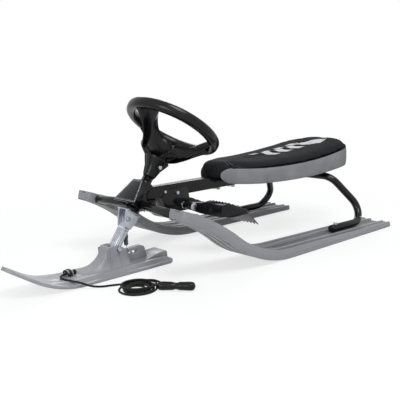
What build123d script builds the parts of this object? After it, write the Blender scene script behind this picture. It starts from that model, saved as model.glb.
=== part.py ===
"""A steerable snow sled: two rear skis, one steered front ski, a padded seat and two foot brakes.

Millimetres. +X is the way it travels, +Y the rider's left, +Z up, and the floor is at z = 0.
The origin is on the floor under the middle of the sled.
"""

import os
from math import cos, pi, radians, sin, tan

from build123d import *

os.makedirs("parts", exist_ok=True)

# Overall size
LENGTH = 1150.0
WIDTH = 500.0

# Rear skis: a flat run, an upward bend, then a gentler bend to the tip
SKI_W = 102.0
SKI_Y = (WIDTH - SKI_W) / 2
SKI_L = 820.0
SKI_T = 26.0
SKI_REAR_T = 16.0
FLAT_L = 470.0
BEND_R = 330.0
BEND_ANGLE = 38.0
TIP_ANGLE = 20.0
TAPER_X = 560.0
NOSE_R = 30.0
SLOT_W = 28.0
SLOT_D = 6.0

# Steel tubes of the frame
TUBE_R = 11.0
TUBE_WALL = 1.5
CROSS_X = 787.0
CROSS_Z = 150.0
BENT_X = 744.0
BENT_Y = 14.0
BENT_R = 24.0
HOOP_Z = 162.0
HOOP_X = 140.0
HOOP_HALF = 128.0
HOOP_BEND_R = 42.0

# Main beam, a box section along the middle
BEAM_W = 30.0
BEAM_Z0 = 165.0
BEAM_Z1 = 198.0
BEAM_WALL = 2.5
BEAM_X0 = 126.0
BEAM_X1 = 756.0

# Steering axis, in the plane y = 0, leaning back from the vertical
LEAN = 35.5
AXIS_X = 652.0
AXIS_Z = 345.0
HEAD_R = 19.0
COLUMN_R = 14.0
COLUMN_WALL = 2.0
RUNNING_GAP = 0.08
COLUMN_TOP = -84.0
HEAD_TOP = -166.0
HEAD_FOOT = -236.0
BRACKET_S = -252.0
BRACKET_D = 42.0
DAMPER_S = -298.0
PIVOT_S = -350.0
LEG_FOOT = -362.0
LEG_W = 28.0
LEG_D = 19.0
SHEET = 3.0
PIVOT_R = 5.0
PIN_R = 3.0

# Steering wheel, seen along its axis
WHEEL_R = 130.0
RIM_HALF_W = 12.5
RIM_HALF_H = 11.5
DISH = 70.0
HUB_R = 24.0
SPOKE_HALF_W = 13.0
SPOKE_ANGLES = (16.0, 138.0, -104.0)

# Front ski
FRONT_W = 110.0
FRONT_X0 = 703.0
FRONT_BEND_X = 972.0
FRONT_BEND_R = 240.0
FRONT_ANGLE = 32.0
FRONT_TIP_T = 8.0
FRONT_DECK_Z = 17.0
CHEEK_GAP = 30.0
CHEEK_T = 6.0
FIN_HALF = 6.0
LIP_HALF = 27.0

# Seat
SEAT_X0 = 4.0
SEAT_X1 = 556.0
SEAT_NOSE_X = 580.0
SEAT_HALF_W = 122.0
SEAT_FRONT_HALF_W = 78.0
SEAM = (254.0, 217.0, 236.0)
SKIRT = (200.0, 175.0, 192.0)
CREST = (272.0, 234.0, 250.0)
TRAY_Z = 208.0
SEAT_WALL = 4.0

# Head cover
COVER_T = 2.5

# Foot brakes
PEDAL_X = 640.0
PEDAL_Z = 138.0
AXLE_R = 6.0
AXLE_HALF = 62.0
PEDAL_Y0 = 28.0
PEDAL_Y1 = 122.0
TOOTH_COUNT = 8
CLAW_T = 3.0

# Tow rope
ROPE_R = 2.5
COIL_X = 902.0
COIL_Y = 158.0
COIL_R = 44.0
COIL_HOLE_R = 12.0
COIL_H = 9.0
LUG_X = 988.0
LUG_Z = 24.0
GRIP_LENGTH = 86.0


def fore(x):
    """The sled's own x, from a distance ahead of the rear ends of the rear skis."""
    return x - LENGTH / 2


def save(builder, name):
    """Label a finished piece and write it."""
    builder.part.label = name
    export_step(builder.part, f"parts/{name}.step")


axis_plane = Plane(
    origin=(fore(AXIS_X), 0, AXIS_Z),
    x_dir=(cos(radians(LEAN)), 0, sin(radians(LEAN))),
    z_dir=(-sin(radians(LEAN)), 0, cos(radians(LEAN))),
)


def on_axis(s):
    """The plane square to the steering axis, s along it from the wheel's rim plane."""
    return axis_plane.offset(s)


def ski_side(low, high, rear_low, rear_high):
    """Side outline of a rear ski between two heights above its running surface."""
    turn, tip = radians(BEND_ANGLE), radians(TIP_ANGLE)
    bend_x = fore(FLAT_L)
    run = SKI_L - FLAT_L - BEND_R * sin(turn)
    tip_r = run / (sin(turn) - sin(tip))
    tip_cx = bend_x + (BEND_R + tip_r) * sin(turn)
    tip_cz = BEND_R - (BEND_R + tip_r) * cos(turn)

    def bend(angle, height):
        return (bend_x + (BEND_R - height) * sin(angle), BEND_R - (BEND_R - height) * cos(angle))

    def crest(angle, height):
        return (tip_cx - (tip_r + height) * sin(angle), tip_cz + (tip_r + height) * cos(angle))

    half, mid = turn / 2, (turn + tip) / 2
    with BuildLine() as outline:
        Line((fore(0), rear_low), (bend_x, low))
        ThreePointArc((bend_x, low), bend(half, low), bend(turn, low))
        ThreePointArc(bend(turn, low), crest(mid, low), crest(tip, low))
        Line(crest(tip, low), crest(tip, high))
        ThreePointArc(crest(tip, high), crest(mid, high), bend(turn, high))
        ThreePointArc(bend(turn, high), bend(half, high), (bend_x, high))
        Line((bend_x, high), (fore(0), rear_high))
        Line((fore(0), rear_high), (fore(0), rear_low))
    return outline.line


def front_tube_runs(side):
    """Outer end and next corner of the two front tubes on one side, the straight one first."""
    end_y = side * (SKI_Y + 8)
    return (
        (Vector(fore(CROSS_X), end_y, CROSS_Z), Vector(fore(CROSS_X - 3), 0, CROSS_Z + 12)),
        (Vector(fore(BENT_X + 16), end_y, CROSS_Z - 3), Vector(fore(BENT_X), side * BENT_Y, CROSS_Z - 12)),
    )


def rear_ski(side):
    """A rear ski on one side: +1 is the left."""
    y = side * SKI_Y
    half_w = SKI_W / 2
    nose_x = SKI_L - NOSE_R
    with BuildPart() as ski:
        with BuildSketch(Plane.XZ.offset(-y)):
            with BuildLine():
                add(ski_side(0, SKI_T, 0, SKI_REAR_T))
            make_face()
        extrude(amount=half_w, both=True)
        with BuildSketch(Plane.XY) as plan:
            with BuildLine():
                left = [
                    Line((fore(0), y + half_w), (fore(TAPER_X), y + half_w)),
                    ThreePointArc(
                        (fore(TAPER_X), y + half_w), (fore(690), y + 0.88 * half_w), (fore(nose_x), y + NOSE_R)
                    ),
                ]
                ThreePointArc((fore(nose_x), y + NOSE_R), (fore(SKI_L + 9), y), (fore(nose_x), y - NOSE_R))
                mirror(left, about=Plane.XZ.offset(-y))
                Line((fore(0), y + half_w), (fore(0), y - half_w))
            make_face()
        extrude(amount=250, mode=Mode.INTERSECT)
        for groove_y in (-29, 0, 29):
            with BuildSketch(Plane.XZ.offset(-(y + groove_y))):
                with BuildLine():
                    add(ski_side(-1, 4, -1, 4))
                make_face()
            extrude(amount=7, both=True, mode=Mode.SUBTRACT)
        with BuildSketch(Plane.XZ.offset(-y)):
            with BuildLine():
                add(ski_side(SKI_T - SLOT_D, SKI_T + 1, SKI_REAR_T - SLOT_D, SKI_REAR_T + 1))
            make_face()
        extrude(amount=SLOT_W / 2, both=True, mode=Mode.SUBTRACT)
        for end, corner in front_tube_runs(side):
            with BuildSketch(Plane(end, z_dir=corner - end)):
                Circle(TUBE_R)
            extrude(amount=80, mode=Mode.SUBTRACT)
    return ski


for side, name in ((1, "ski_rear_left"), (-1, "ski_rear_right")):
    ski = rear_ski(side)
    save(ski, name)


def tube(points, radii, r=TUBE_R, wall=TUBE_WALL):
    """An open round tube along straight runs joined by tangent arcs."""
    with BuildPart() as pipe:
        with BuildLine() as path:
            FilletPolyline(*points, radius=radii)
        with BuildSketch(Plane(path.line @ 0, z_dir=path.line % 0)):
            Circle(r)
            Circle(r - wall, mode=Mode.SUBTRACT)
        sweep()
    return pipe


# Rear hoop: from a ski's slot, round, up and across under the seat
def hoop_points(side):
    """The hoop's corners on one side, from the ski inwards."""
    foot_z = 0.5 * (SKI_REAR_T + SKI_T) - SLOT_D + TUBE_R
    return [
        (fore(236), side * SKI_Y, foot_z + 1),
        (fore(36), side * SKI_Y, foot_z - 2),
        (fore(HOOP_X), side * HOOP_HALF, HOOP_Z),
    ]


hoop_path = hoop_points(1) + hoop_points(-1)[::-1]
hoop_rear = tube(hoop_path, [46, HOOP_BEND_R, HOOP_BEND_R, 46])
save(hoop_rear, "hoop_rear")

# Front tubes: on each side one from the head out to the ski, and one bent down from the beam
for side, name in ((1, "left"), (-1, "right")):
    (outer, inner), (bent_end, bent_corner) = front_tube_runs(side)
    with BuildPart() as tube_cross:
        with BuildSketch(Plane(outer, z_dir=inner - outer)):
            Circle(TUBE_R)
            Circle(TUBE_R - TUBE_WALL, mode=Mode.SUBTRACT)
        extrude(amount=(inner - outer).length)
        with BuildSketch(on_axis(HEAD_FOOT - 30)):
            Circle(HEAD_R)
        extrude(amount=90, mode=Mode.SUBTRACT)
    save(tube_cross, f"tube_cross_{name}")
    tube_bent = tube(
        [bent_end, bent_corner, (fore(BENT_X), side * BENT_Y, BEAM_Z0)],
        [BENT_R],
    )
    save(tube_bent, f"tube_bent_{name}")

# Main beam, its front end fitted round the steering head and its rear end over the hoop
with BuildPart() as beam:
    with BuildSketch(Plane.YZ.offset(fore(BEAM_X0))):
        with Locations((0, (BEAM_Z0 + BEAM_Z1) / 2)):
            RectangleRounded(BEAM_W, BEAM_Z1 - BEAM_Z0, 4)
            RectangleRounded(
                BEAM_W - 2 * BEAM_WALL, BEAM_Z1 - BEAM_Z0 - 2 * BEAM_WALL, 4 - BEAM_WALL, mode=Mode.SUBTRACT
            )
    extrude(amount=BEAM_X1 - BEAM_X0)
    with BuildSketch(on_axis(HEAD_FOOT - 40)):
        Circle(HEAD_R)
    extrude(amount=HEAD_TOP - HEAD_FOOT + 80, mode=Mode.SUBTRACT)
    with BuildSketch(Plane.XZ.offset(-BEAM_W)):
        with Locations((fore(HOOP_X), HOOP_Z)):
            Circle(TUBE_R)
    extrude(amount=2 * BEAM_W, mode=Mode.SUBTRACT)
save(beam, "beam")

# Steering head: the sleeve that the column turns in
with BuildPart() as head:
    with BuildSketch(on_axis(HEAD_FOOT)):
        Circle(HEAD_R)
        Circle(COLUMN_R + RUNNING_GAP, mode=Mode.SUBTRACT)
    extrude(amount=HEAD_TOP - HEAD_FOOT)
save(head, "head_tube")


def in_axis(s, x, y=0.0):
    """A point given by its height on the steering axis and its place across it."""
    return on_axis(s).from_local_coords(Vector(x, y, 0))


def side_outline(points):
    """Closed outline in the plane XZ through points given as (height on the axis, across it)."""
    corners = [in_axis(s, x) for s, x in points]
    return Polyline(*[(c.X, c.Z) for c in corners], close=True)


# Column, from the wheel's hub down through the head to the fork, with its collar
with BuildPart() as column:
    with BuildSketch(on_axis(BRACKET_S)):
        Circle(COLUMN_R)
        Circle(COLUMN_R - COLUMN_WALL, mode=Mode.SUBTRACT)
    extrude(amount=COLUMN_TOP - BRACKET_S)
    with BuildSketch(on_axis(BRACKET_S)):
        Circle(HEAD_R)
        Circle(COLUMN_R, mode=Mode.SUBTRACT)
    extrude(amount=HEAD_FOOT - BRACKET_S - 0.5)
save(column, "column")

# Fork bracket: a folded plate under the head, its two cheeks clasping the leg
CHEEK_Y = LEG_W / 2 + SHEET
with BuildPart() as fork:
    with BuildSketch(Plane.XZ.offset(-CHEEK_Y)):
        with BuildLine():
            side_outline([
                (BRACKET_S, -16), (BRACKET_S, 28), (BRACKET_S - 8, 28), (BRACKET_S - BRACKET_D, LEG_D / 2),
                (BRACKET_S - BRACKET_D, -LEG_D / 2), (BRACKET_S - 20, -16),
            ])
        make_face()
    extrude(amount=2 * CHEEK_Y)
    with BuildSketch(on_axis(BRACKET_S - 60)):
        with Locations((SHEET, 0)):
            Rectangle(80, LEG_W)
    extrude(amount=60 - SHEET, mode=Mode.SUBTRACT)
    with BuildSketch(on_axis(BRACKET_S - SHEET)):
        with Locations((6, 0)):
            Rectangle(44, 2 * CHEEK_Y + 14)
    extrude(amount=SHEET)
save(fork, "fork_bracket")

# Leg: a channel of folded plate, open to the rear, with a pin for the damper
with BuildPart() as leg:
    with BuildSketch(on_axis(LEG_FOOT)):
        RectangleRounded(LEG_D, LEG_W, 3)
        with Locations((-SHEET, 0)):
            Rectangle(LEG_D, LEG_W - 2 * SHEET, mode=Mode.SUBTRACT)
    extrude(amount=BRACKET_S - SHEET - LEG_FOOT)
    with BuildSketch(Plane(in_axis(PIVOT_S, 0, LEG_W), z_dir=(0, -1, 0))):
        Circle(PIVOT_R)
    extrude(amount=2 * LEG_W, mode=Mode.SUBTRACT)
    with BuildSketch(Plane(in_axis(DAMPER_S, -5, LEG_W / 2), z_dir=(0, -1, 0))):
        Circle(PIN_R)
    extrude(amount=LEG_W)
save(leg, "leg")

# Steering wheel: rim, dished spokes and a deep hub that clasps the column
with BuildPart() as wheel:
    with BuildSketch(Plane(axis_plane.origin, x_dir=axis_plane.x_dir, z_dir=(0, -1, 0))):
        with Locations((WHEEL_R - RIM_HALF_W, 0)):
            RectangleRounded(2 * RIM_HALF_W, 2 * RIM_HALF_H, 9)
    revolve(axis=Axis(axis_plane.origin, axis_plane.z_dir))
    for angle in SPOKE_ANGLES:
        outwards = axis_plane.x_dir * cos(radians(angle)) + axis_plane.y_dir * sin(radians(angle))
        with BuildSketch(Plane(axis_plane.origin, x_dir=outwards, z_dir=outwards.cross(axis_plane.z_dir))):
            with BuildLine():
                top = ThreePointArc((WHEEL_R - 18, 4), (70, -34), (0, -DISH + 8))
                Line(top @ 1, (0, -DISH - 14))
                under = ThreePointArc((0, -DISH - 14), (74, -55), (WHEEL_R - 14, -9))
                Line(under @ 1, top @ 0)
            make_face()
        extrude(amount=SPOKE_HALF_W, both=True)
    with BuildSketch(Plane(axis_plane.origin, x_dir=axis_plane.x_dir, z_dir=(0, -1, 0))):
        with BuildLine():
            Polyline(
                (0, -DISH + 6), (HUB_R + 6, -DISH + 2), (HUB_R, -DISH - 18), (HUB_R - 2, -DISH - 44),
                (COLUMN_R, -DISH - 44), (COLUMN_R, COLUMN_TOP), (0, COLUMN_TOP), close=True,
            )
        make_face()
    revolve(axis=Axis(axis_plane.origin, axis_plane.z_dir))
    with BuildSketch(on_axis(COLUMN_TOP)):
        Circle(COLUMN_R)
    extrude(amount=-60, mode=Mode.SUBTRACT)
save(wheel, "wheel")

# Front ski: a thin upturned blade with a raised deck, a clevis for the leg and a fin behind it
def front_side(low, high, x0):
    """Side outline of the front ski's blade between two heights above its running surface."""
    turn = radians(FRONT_ANGLE)
    run = LENGTH - FRONT_BEND_X - FRONT_BEND_R * sin(turn)

    def bend(angle, height):
        return (
            fore(FRONT_BEND_X) + (FRONT_BEND_R - height) * sin(angle),
            FRONT_BEND_R - (FRONT_BEND_R - height) * cos(angle),
        )

    def tip(height):
        x, z = bend(turn, height)
        length = run / cos(turn)
        return (x + length * cos(turn), z + length * sin(turn))

    with BuildLine() as outline:
        Line((fore(x0), low), (fore(FRONT_BEND_X), low))
        ThreePointArc((fore(FRONT_BEND_X), low), bend(turn / 2, low), bend(turn, low))
        Line(bend(turn, low), tip(low))
        Line(tip(low), tip(high))
        Line(tip(high), bend(turn, high))
        ThreePointArc(bend(turn, high), bend(turn / 2, high), (fore(FRONT_BEND_X), high))
        Line((fore(FRONT_BEND_X), high), (fore(x0), high))
        Line((fore(x0), high), (fore(x0), low))
    return outline.line


pivot = in_axis(PIVOT_S, 0)
with BuildPart() as front:
    with BuildSketch(Plane.XZ):
        with BuildLine():
            add(front_side(0, FRONT_TIP_T, FRONT_X0))
        make_face()
    extrude(amount=FRONT_W / 2, both=True)
    with BuildSketch(Plane.XY):
        with BuildLine():
            Line((fore(FRONT_X0), 0), (fore(FRONT_X0), FRONT_W / 2 - 14))
            Line((fore(FRONT_X0), FRONT_W / 2 - 14), (fore(FRONT_X0 + 14), FRONT_W / 2))
            Line((fore(FRONT_X0 + 14), FRONT_W / 2), (fore(1040), FRONT_W / 2))
            ThreePointArc((fore(1040), FRONT_W / 2), (fore(1118), 38), (fore(LENGTH), 0))
            Line((fore(LENGTH), 0), (fore(FRONT_X0), 0))
        make_face()
        mirror(about=Plane.XZ)
    extrude(amount=200, mode=Mode.INTERSECT)
    with BuildSketch(Plane.XY.offset(FRONT_TIP_T)) as deck:
        with Locations((fore(866), 0)):
            RectangleRounded(300, FRONT_W - 16, 20)
    with BuildSketch(Plane.XY.offset(FRONT_DECK_Z)) as deck_top:
        with Locations((fore(860), 0)):
            RectangleRounded(276, FRONT_W - 34, 16)
    loft()
    # Clevis: two cheeks and a front wall, then the fin
    with BuildSketch(Plane.XZ.offset(-(CHEEK_GAP / 2 + CHEEK_T))):
        with BuildLine():
            Line((fore(968), FRONT_DECK_Z - 2), (fore(968), FRONT_DECK_Z))
            ThreePointArc((fore(968), FRONT_DECK_Z), (fore(922), 27), (fore(893), 52))
            Polyline(
                (fore(893), 52), (fore(886), 69), (fore(866), 70), (fore(838), 62),
                (fore(818), FRONT_DECK_Z - 2), (fore(968), FRONT_DECK_Z - 2),
            )
        make_face()
    extrude(amount=CHEEK_GAP + 2 * CHEEK_T)
    with BuildSketch(Plane.XY.offset(FRONT_DECK_Z + 6)):
        with Locations((fore(849), 0)):
            Rectangle(62, CHEEK_GAP)
    extrude(amount=80, mode=Mode.SUBTRACT)
    with BuildSketch(Plane.XZ.offset(-FIN_HALF)):
        with BuildLine():
            Polyline(
                (fore(832), FRONT_DECK_Z - 2), (fore(832), 49), (fore(778), 53), (fore(766), 48),
                (fore(758), FRONT_DECK_Z - 2), close=True,
            )
        make_face()
        with Locations((fore(803), 38)):
            SlotOverall(28, 9, rotation=-3, mode=Mode.SUBTRACT)
    extrude(amount=2 * FIN_HALF)
    # Raised rear end of the deck
    with BuildSketch(Plane.XZ.offset(-LIP_HALF)):
        with BuildLine():
            Polyline(
                (fore(FRONT_X0 + 3), FRONT_TIP_T - 2), (fore(FRONT_X0 + 5), 28), (fore(740), 26),
                (fore(778), FRONT_DECK_Z - 2), close=True,
            )
        make_face()
    extrude(amount=2 * LIP_HALF)
    with BuildSketch(Plane(Vector(pivot.X, CHEEK_GAP, pivot.Z), z_dir=(0, -1, 0))):
        Circle(PIVOT_R)
    extrude(amount=2 * CHEEK_GAP, mode=Mode.SUBTRACT)
    # Eye for the tow rope
    with BuildSketch(Plane.XZ.offset(-14)):
        with BuildLine():
            Line((fore(979), FRONT_DECK_Z - 2), (fore(979), 26))
            ThreePointArc((fore(979), 26), (fore(987), 33), (fore(995), 26))
            Line((fore(995), 26), (fore(995), FRONT_DECK_Z - 2))
            Line((fore(995), FRONT_DECK_Z - 2), (fore(979), FRONT_DECK_Z - 2))
        make_face()
    extrude(amount=28)
    with BuildSketch(Plane.YZ.offset(fore(960))):
        with Locations((0, 24)):
            Circle(ROPE_R)
    extrude(amount=60, mode=Mode.SUBTRACT)
save(front, "ski_front")

# Pivot bolt of the front ski
with BuildPart() as bolt:
    head_y = CHEEK_GAP / 2 + CHEEK_T
    with BuildSketch(Plane(Vector(pivot.X, head_y, pivot.Z), z_dir=(0, -1, 0))):
        Circle(PIVOT_R)
    extrude(amount=2 * head_y)
    for y in (head_y, -head_y - 6):
        with BuildSketch(Plane(Vector(pivot.X, y, pivot.Z), z_dir=(0, 1, 0))):
            RegularPolygon(8.5, 6)
        extrude(amount=6)
save(bolt, "pivot_bolt")

# Damper: a rubber sleeve on the leg's pin, with a wire hook into the fin's slot
damper_top = in_axis(DAMPER_S, -5)
damper_foot = Vector(fore(818), 0, 60)
with BuildPart() as damper:
    with BuildSketch(Plane(damper_top, z_dir=damper_foot - damper_top)):
        Circle(7.5)
    with BuildSketch(Plane(damper_foot, z_dir=damper_foot - damper_top)):
        Circle(5.5)
    loft()
    with BuildSketch(Plane(in_axis(DAMPER_S, -5, LEG_W / 2), z_dir=(0, -1, 0))):
        Circle(PIN_R)
    extrude(amount=LEG_W, mode=Mode.SUBTRACT)
    with BuildSketch(Plane(damper_foot, z_dir=(0, 9, -10))):
        Rectangle(40, 40)
    extrude(amount=20, mode=Mode.SUBTRACT)
save(damper, "damper")
with BuildPart() as hook:
    with BuildLine() as hook_path:
        FilletPolyline(
            (damper_foot.X, 0, damper_foot.Z), (fore(818), 9, 50), (fore(806), 9, 38), (fore(806), -9, 38),
            radius=[3, 4],
        )
    with BuildSketch(Plane(hook_path.line @ 0, z_dir=hook_path.line % 0)):
        Circle(1.5)
    sweep()
save(hook, "damper_hook")


def seat_plan(inset, x0, x1):
    """Half of the seat's outline in plan, from its rear end to its front end."""
    rear_w, front_w = SEAT_HALF_W - inset, SEAT_FRONT_HALF_W - inset
    with BuildLine() as outline:
        ThreePointArc((fore(x0), 0), (fore(x0 + 24), 0.7 * rear_w), (fore(x0 + 88), 0.97 * rear_w))
        ThreePointArc((fore(x0 + 88), 0.97 * rear_w), (fore(x0 + 250), rear_w), (fore(x1 - 118), 0.87 * rear_w))
        ThreePointArc((fore(x1 - 118), 0.87 * rear_w), (fore(x1 - 50), 0.76 * rear_w), (fore(x1 - 14), front_w - 12))
        ThreePointArc((fore(x1 - 14), front_w - 12), (fore(x1 - 4), front_w - 26), (fore(x1), 0.4 * front_w))
        Line((fore(x1), 0.4 * front_w), (fore(x1), 0))
        Line((fore(x1), 0), (fore(x0), 0))
    return outline.line


def seat_side(low, high):
    """Side outline of the seat between two arcs, each given by its heights at rear, middle and front."""
    xs = (fore(-40), fore(300), fore(620))
    with BuildLine() as outline:
        ThreePointArc(*zip(xs, low))
        Line((xs[2], low[2]), (xs[2], high[2]))
        ThreePointArc(*zip(xs, high))
        Line((xs[0], high[0]), (xs[0], low[0]))
    return outline.line


# Seat shell: a moulded tray, open below, its floor carrying the pad
with BuildPart() as shell:
    with BuildSketch(Plane.XZ):
        with BuildLine():
            add(seat_side(SKIRT, SEAM))
        make_face()
    extrude(amount=200, both=True)
    with BuildSketch(Plane.XY):
        with BuildLine():
            add(seat_plan(0, SEAT_X0, SEAT_X1))
        make_face()
        mirror(about=Plane.XZ)
    extrude(amount=300, mode=Mode.INTERSECT)
    with BuildSketch(Plane.XY.offset(TRAY_Z)):
        with BuildLine():
            add(seat_plan(SEAT_WALL, SEAT_X0 + SEAT_WALL, SEAT_X1 - SEAT_WALL))
        make_face()
        mirror(about=Plane.XZ)
    extrude(amount=100, mode=Mode.SUBTRACT)
    with BuildSketch(Plane.XY.offset(TRAY_Z - SEAT_WALL)):
        with BuildLine():
            add(seat_plan(SEAT_WALL, SEAT_X0 + SEAT_WALL, SEAT_X1 - SEAT_WALL))
        make_face()
        mirror(about=Plane.XZ)
    extrude(amount=-100, mode=Mode.SUBTRACT)
    with BuildSketch(Plane.YZ.offset(fore(SEAT_X1 - 30))):
        with Locations((0, (BEAM_Z0 + BEAM_Z1) / 2)):
            Rectangle(BEAM_W + 2, BEAM_Z1 - BEAM_Z0)
    extrude(amount=60, mode=Mode.SUBTRACT)
save(shell, "seat_shell")

# Seat pad: fills the tray and swells above it
with BuildPart() as pad:
    with BuildSketch(Plane.XZ):
        with BuildLine():
            add(seat_side(SEAM, CREST))
        make_face()
    extrude(amount=200, both=True)
    with BuildSketch(Plane.XY):
        with BuildLine():
            add(seat_plan(0, SEAT_X0, SEAT_X1))
        make_face()
        mirror(about=Plane.XZ)
    extrude(amount=300, mode=Mode.INTERSECT)
    with BuildSketch(Plane.XY.offset(TRAY_Z)):
        with BuildLine():
            add(seat_plan(SEAT_WALL, SEAT_X0 + SEAT_WALL, SEAT_X1 - SEAT_WALL))
        make_face()
        mirror(about=Plane.XZ)
    extrude(amount=11)
save(pad, "seat_pad")

# Seat nose: the padded front end, down to the beam
with BuildPart() as nose:
    with BuildSketch(Plane.XY.offset(BEAM_Z1)):
        with BuildLine():
            Line((fore(SEAT_X1), 0), (fore(SEAT_X1), SEAT_FRONT_HALF_W - 30))
            ThreePointArc(
                (fore(SEAT_X1), SEAT_FRONT_HALF_W - 30), (fore(SEAT_NOSE_X - 6), 34), (fore(SEAT_NOSE_X), 0)
            )
            Line((fore(SEAT_NOSE_X), 0), (fore(SEAT_X1), 0))
        make_face()
        mirror(about=Plane.XZ)
    extrude(amount=42)
    fillet(nose.edges().group_by(Axis.Z)[-1].sort_by(Axis.X)[-2:], 10)
    add(shell.part, mode=Mode.SUBTRACT)
    add(pad.part, mode=Mode.SUBTRACT)
save(nose, "seat_nose")

# Seat brackets: a plate over the beam in front, and a saddle over the hoop behind
PLATE_Z = TRAY_Z - SEAT_WALL
with BuildPart() as seat_front:
    with BuildSketch(Plane.XY.offset(BEAM_Z1)):
        with Locations((fore(470), 0)):
            RectangleRounded(50, 110, 8)
    extrude(amount=PLATE_Z - BEAM_Z1)
save(seat_front, "seat_bracket_front")
with BuildPart() as seat_rear:
    with BuildSketch(Plane.XY.offset(BEAM_Z1)):
        with Locations((fore(HOOP_X + 10), 0)):
            RectangleRounded(60, 180, 8)
    extrude(amount=PLATE_Z - BEAM_Z1)
    with BuildSketch(Plane.XY.offset(HOOP_Z)):
        with Locations((fore(HOOP_X), 70), (fore(HOOP_X), -70)):
            Rectangle(20, 5)
    extrude(amount=BEAM_Z1 - HOOP_Z)
    with BuildSketch(Plane.XZ.offset(-100)):
        with Locations((fore(HOOP_X), HOOP_Z)):
            Circle(TUBE_R)
    extrude(amount=200, mode=Mode.SUBTRACT)
save(seat_rear, "seat_bracket_rear")

# Head cover: a wedge over the front of the steering head, open at the back
def cover_ring(s, front_half, rear_half, front_x, inset):
    """The cover's section square to the steering axis at one height."""
    with BuildSketch(on_axis(s)) as ring:
        with BuildLine():
            Polyline(
                (front_x - inset, front_half - inset), (8, rear_half - inset), (-16, rear_half - inset),
                (-16, -rear_half + inset), (8, -rear_half + inset), (front_x - inset, -front_half + inset),
                close=True,
            )
        make_face()
    return ring.sketch


with BuildPart() as cover:
    add(cover_ring(-170, 20, 24, 25, 0))
    add(cover_ring(-238, 46, 30, 36, 0))
    loft()
    add(cover_ring(-172.5, 20, 24, 25, COVER_T))
    add(cover_ring(-239, 46, 30, 36, COVER_T))
    loft(mode=Mode.SUBTRACT)
    with BuildSketch(on_axis(-260)):
        Circle(HEAD_R)
    extrude(amount=120, mode=Mode.SUBTRACT)
    with BuildSketch(Plane.XZ.offset(-60)):
        with Locations((fore(BEAM_X1 - 50), (BEAM_Z0 + BEAM_Z1) / 2)):
            Rectangle(100 + 2 * 12, BEAM_Z1 - BEAM_Z0 + 1)
    extrude(amount=120, mode=Mode.SUBTRACT)
    for side in (1, -1):
        outer, inner = front_tube_runs(side)[0]
        with BuildSketch(Plane(outer, z_dir=inner - outer)):
            Circle(TUBE_R + 0.5)
        extrude(amount=(inner - outer).length, mode=Mode.SUBTRACT)
save(cover, "head_cover")

# Brake bracket: two cheeks bolted under the beam, with a bridge between them
BRAKE_CHEEK_Y = BEAM_W / 2
with BuildPart() as bracket:
    with BuildSketch(Plane.XZ.offset(-(BRAKE_CHEEK_Y + SHEET))):
        with BuildLine():
            Polyline(
                (fore(712), 166), (fore(700), 134), (fore(664), 122), (fore(624), 122), (fore(616), 150),
                (fore(622), 186), (fore(690), 186), close=True,
            )
        make_face()
    extrude(amount=2 * (BRAKE_CHEEK_Y + SHEET))
    with BuildSketch(Plane.XZ.offset(-BRAKE_CHEEK_Y)):
        with Locations((fore(640), 160)):
            Rectangle(2 * 42, 100)
    extrude(amount=2 * BRAKE_CHEEK_Y, mode=Mode.SUBTRACT)
    with BuildSketch(Plane.XZ.offset(-BRAKE_CHEEK_Y)):
        with Locations((fore(690), (BEAM_Z0 + BEAM_Z1) / 2)):
            Rectangle(2 * 42, BEAM_Z1 - BEAM_Z0)
    extrude(amount=2 * BRAKE_CHEEK_Y, mode=Mode.SUBTRACT)
    with BuildSketch(Plane.XZ.offset(-40)):
        with Locations((fore(PEDAL_X), PEDAL_Z)):
            Circle(AXLE_R)
    extrude(amount=80, mode=Mode.SUBTRACT)
save(bracket, "brake_bracket")

# Brake axle, through both cheeks, with a washer outside each pedal
with BuildPart() as axle:
    with BuildSketch(Plane.XZ.offset(-AXLE_HALF)):
        with Locations((fore(PEDAL_X), PEDAL_Z)):
            Circle(AXLE_R)
    extrude(amount=2 * AXLE_HALF)
    for y in (-AXLE_HALF, AXLE_HALF - 3):
        with BuildSketch(Plane.XZ.offset(-y)):
            with Locations((fore(PEDAL_X), PEDAL_Z)):
                Circle(AXLE_R + 4)
        extrude(amount=-3)
save(axle, "brake_axle")


def brake_pedal(claw):
    """The left foot pedal: a hub on the axle, an arm and a ribbed tread plate, hollow below."""
    with BuildPart() as pedal:
        with BuildSketch(Plane.XZ.offset(-PEDAL_Y1)):
            with BuildLine():
                Polyline(
                    (fore(604), 112), (fore(596), 142), (fore(572), 144), (fore(494), 112), (fore(496), 105),
                    (fore(560), 104), close=True,
                )
            make_face()
        extrude(amount=PEDAL_Y1 - PEDAL_Y0 - 22)
        with BuildSketch(Plane.XZ.offset(-PEDAL_Y1 + 4)):
            with BuildLine():
                Polyline(
                    (fore(612), 96), (fore(591), 138), (fore(571), 140), (fore(512), 115), (fore(500), 96),
                    close=True,
                )
            make_face()
        extrude(amount=PEDAL_Y1 - PEDAL_Y0 - 22 - 8, mode=Mode.SUBTRACT)
        with BuildSketch(Plane.XZ.offset(-(PEDAL_Y0 + 28))):
            with BuildLine():
                Polyline(
                    (fore(PEDAL_X), PEDAL_Z + 10), (fore(596), 142), (fore(592), 124), (fore(604), 112),
                    (fore(PEDAL_X), PEDAL_Z - 10), close=True,
                )
            make_face()
        extrude(amount=14)
        with BuildSketch(Plane.XZ.offset(-(AXLE_HALF - 3.5))):
            with Locations((fore(PEDAL_X), PEDAL_Z)):
                Circle(10.5)
        extrude(amount=AXLE_HALF - 3.5 - PEDAL_Y0)
        with BuildSketch(Plane.XZ.offset(-100)):
            with Locations((fore(PEDAL_X), PEDAL_Z)):
                Circle(AXLE_R + RUNNING_GAP)
        extrude(amount=100, mode=Mode.SUBTRACT)
        add(claw.part, mode=Mode.SUBTRACT)
    return pedal


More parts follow.
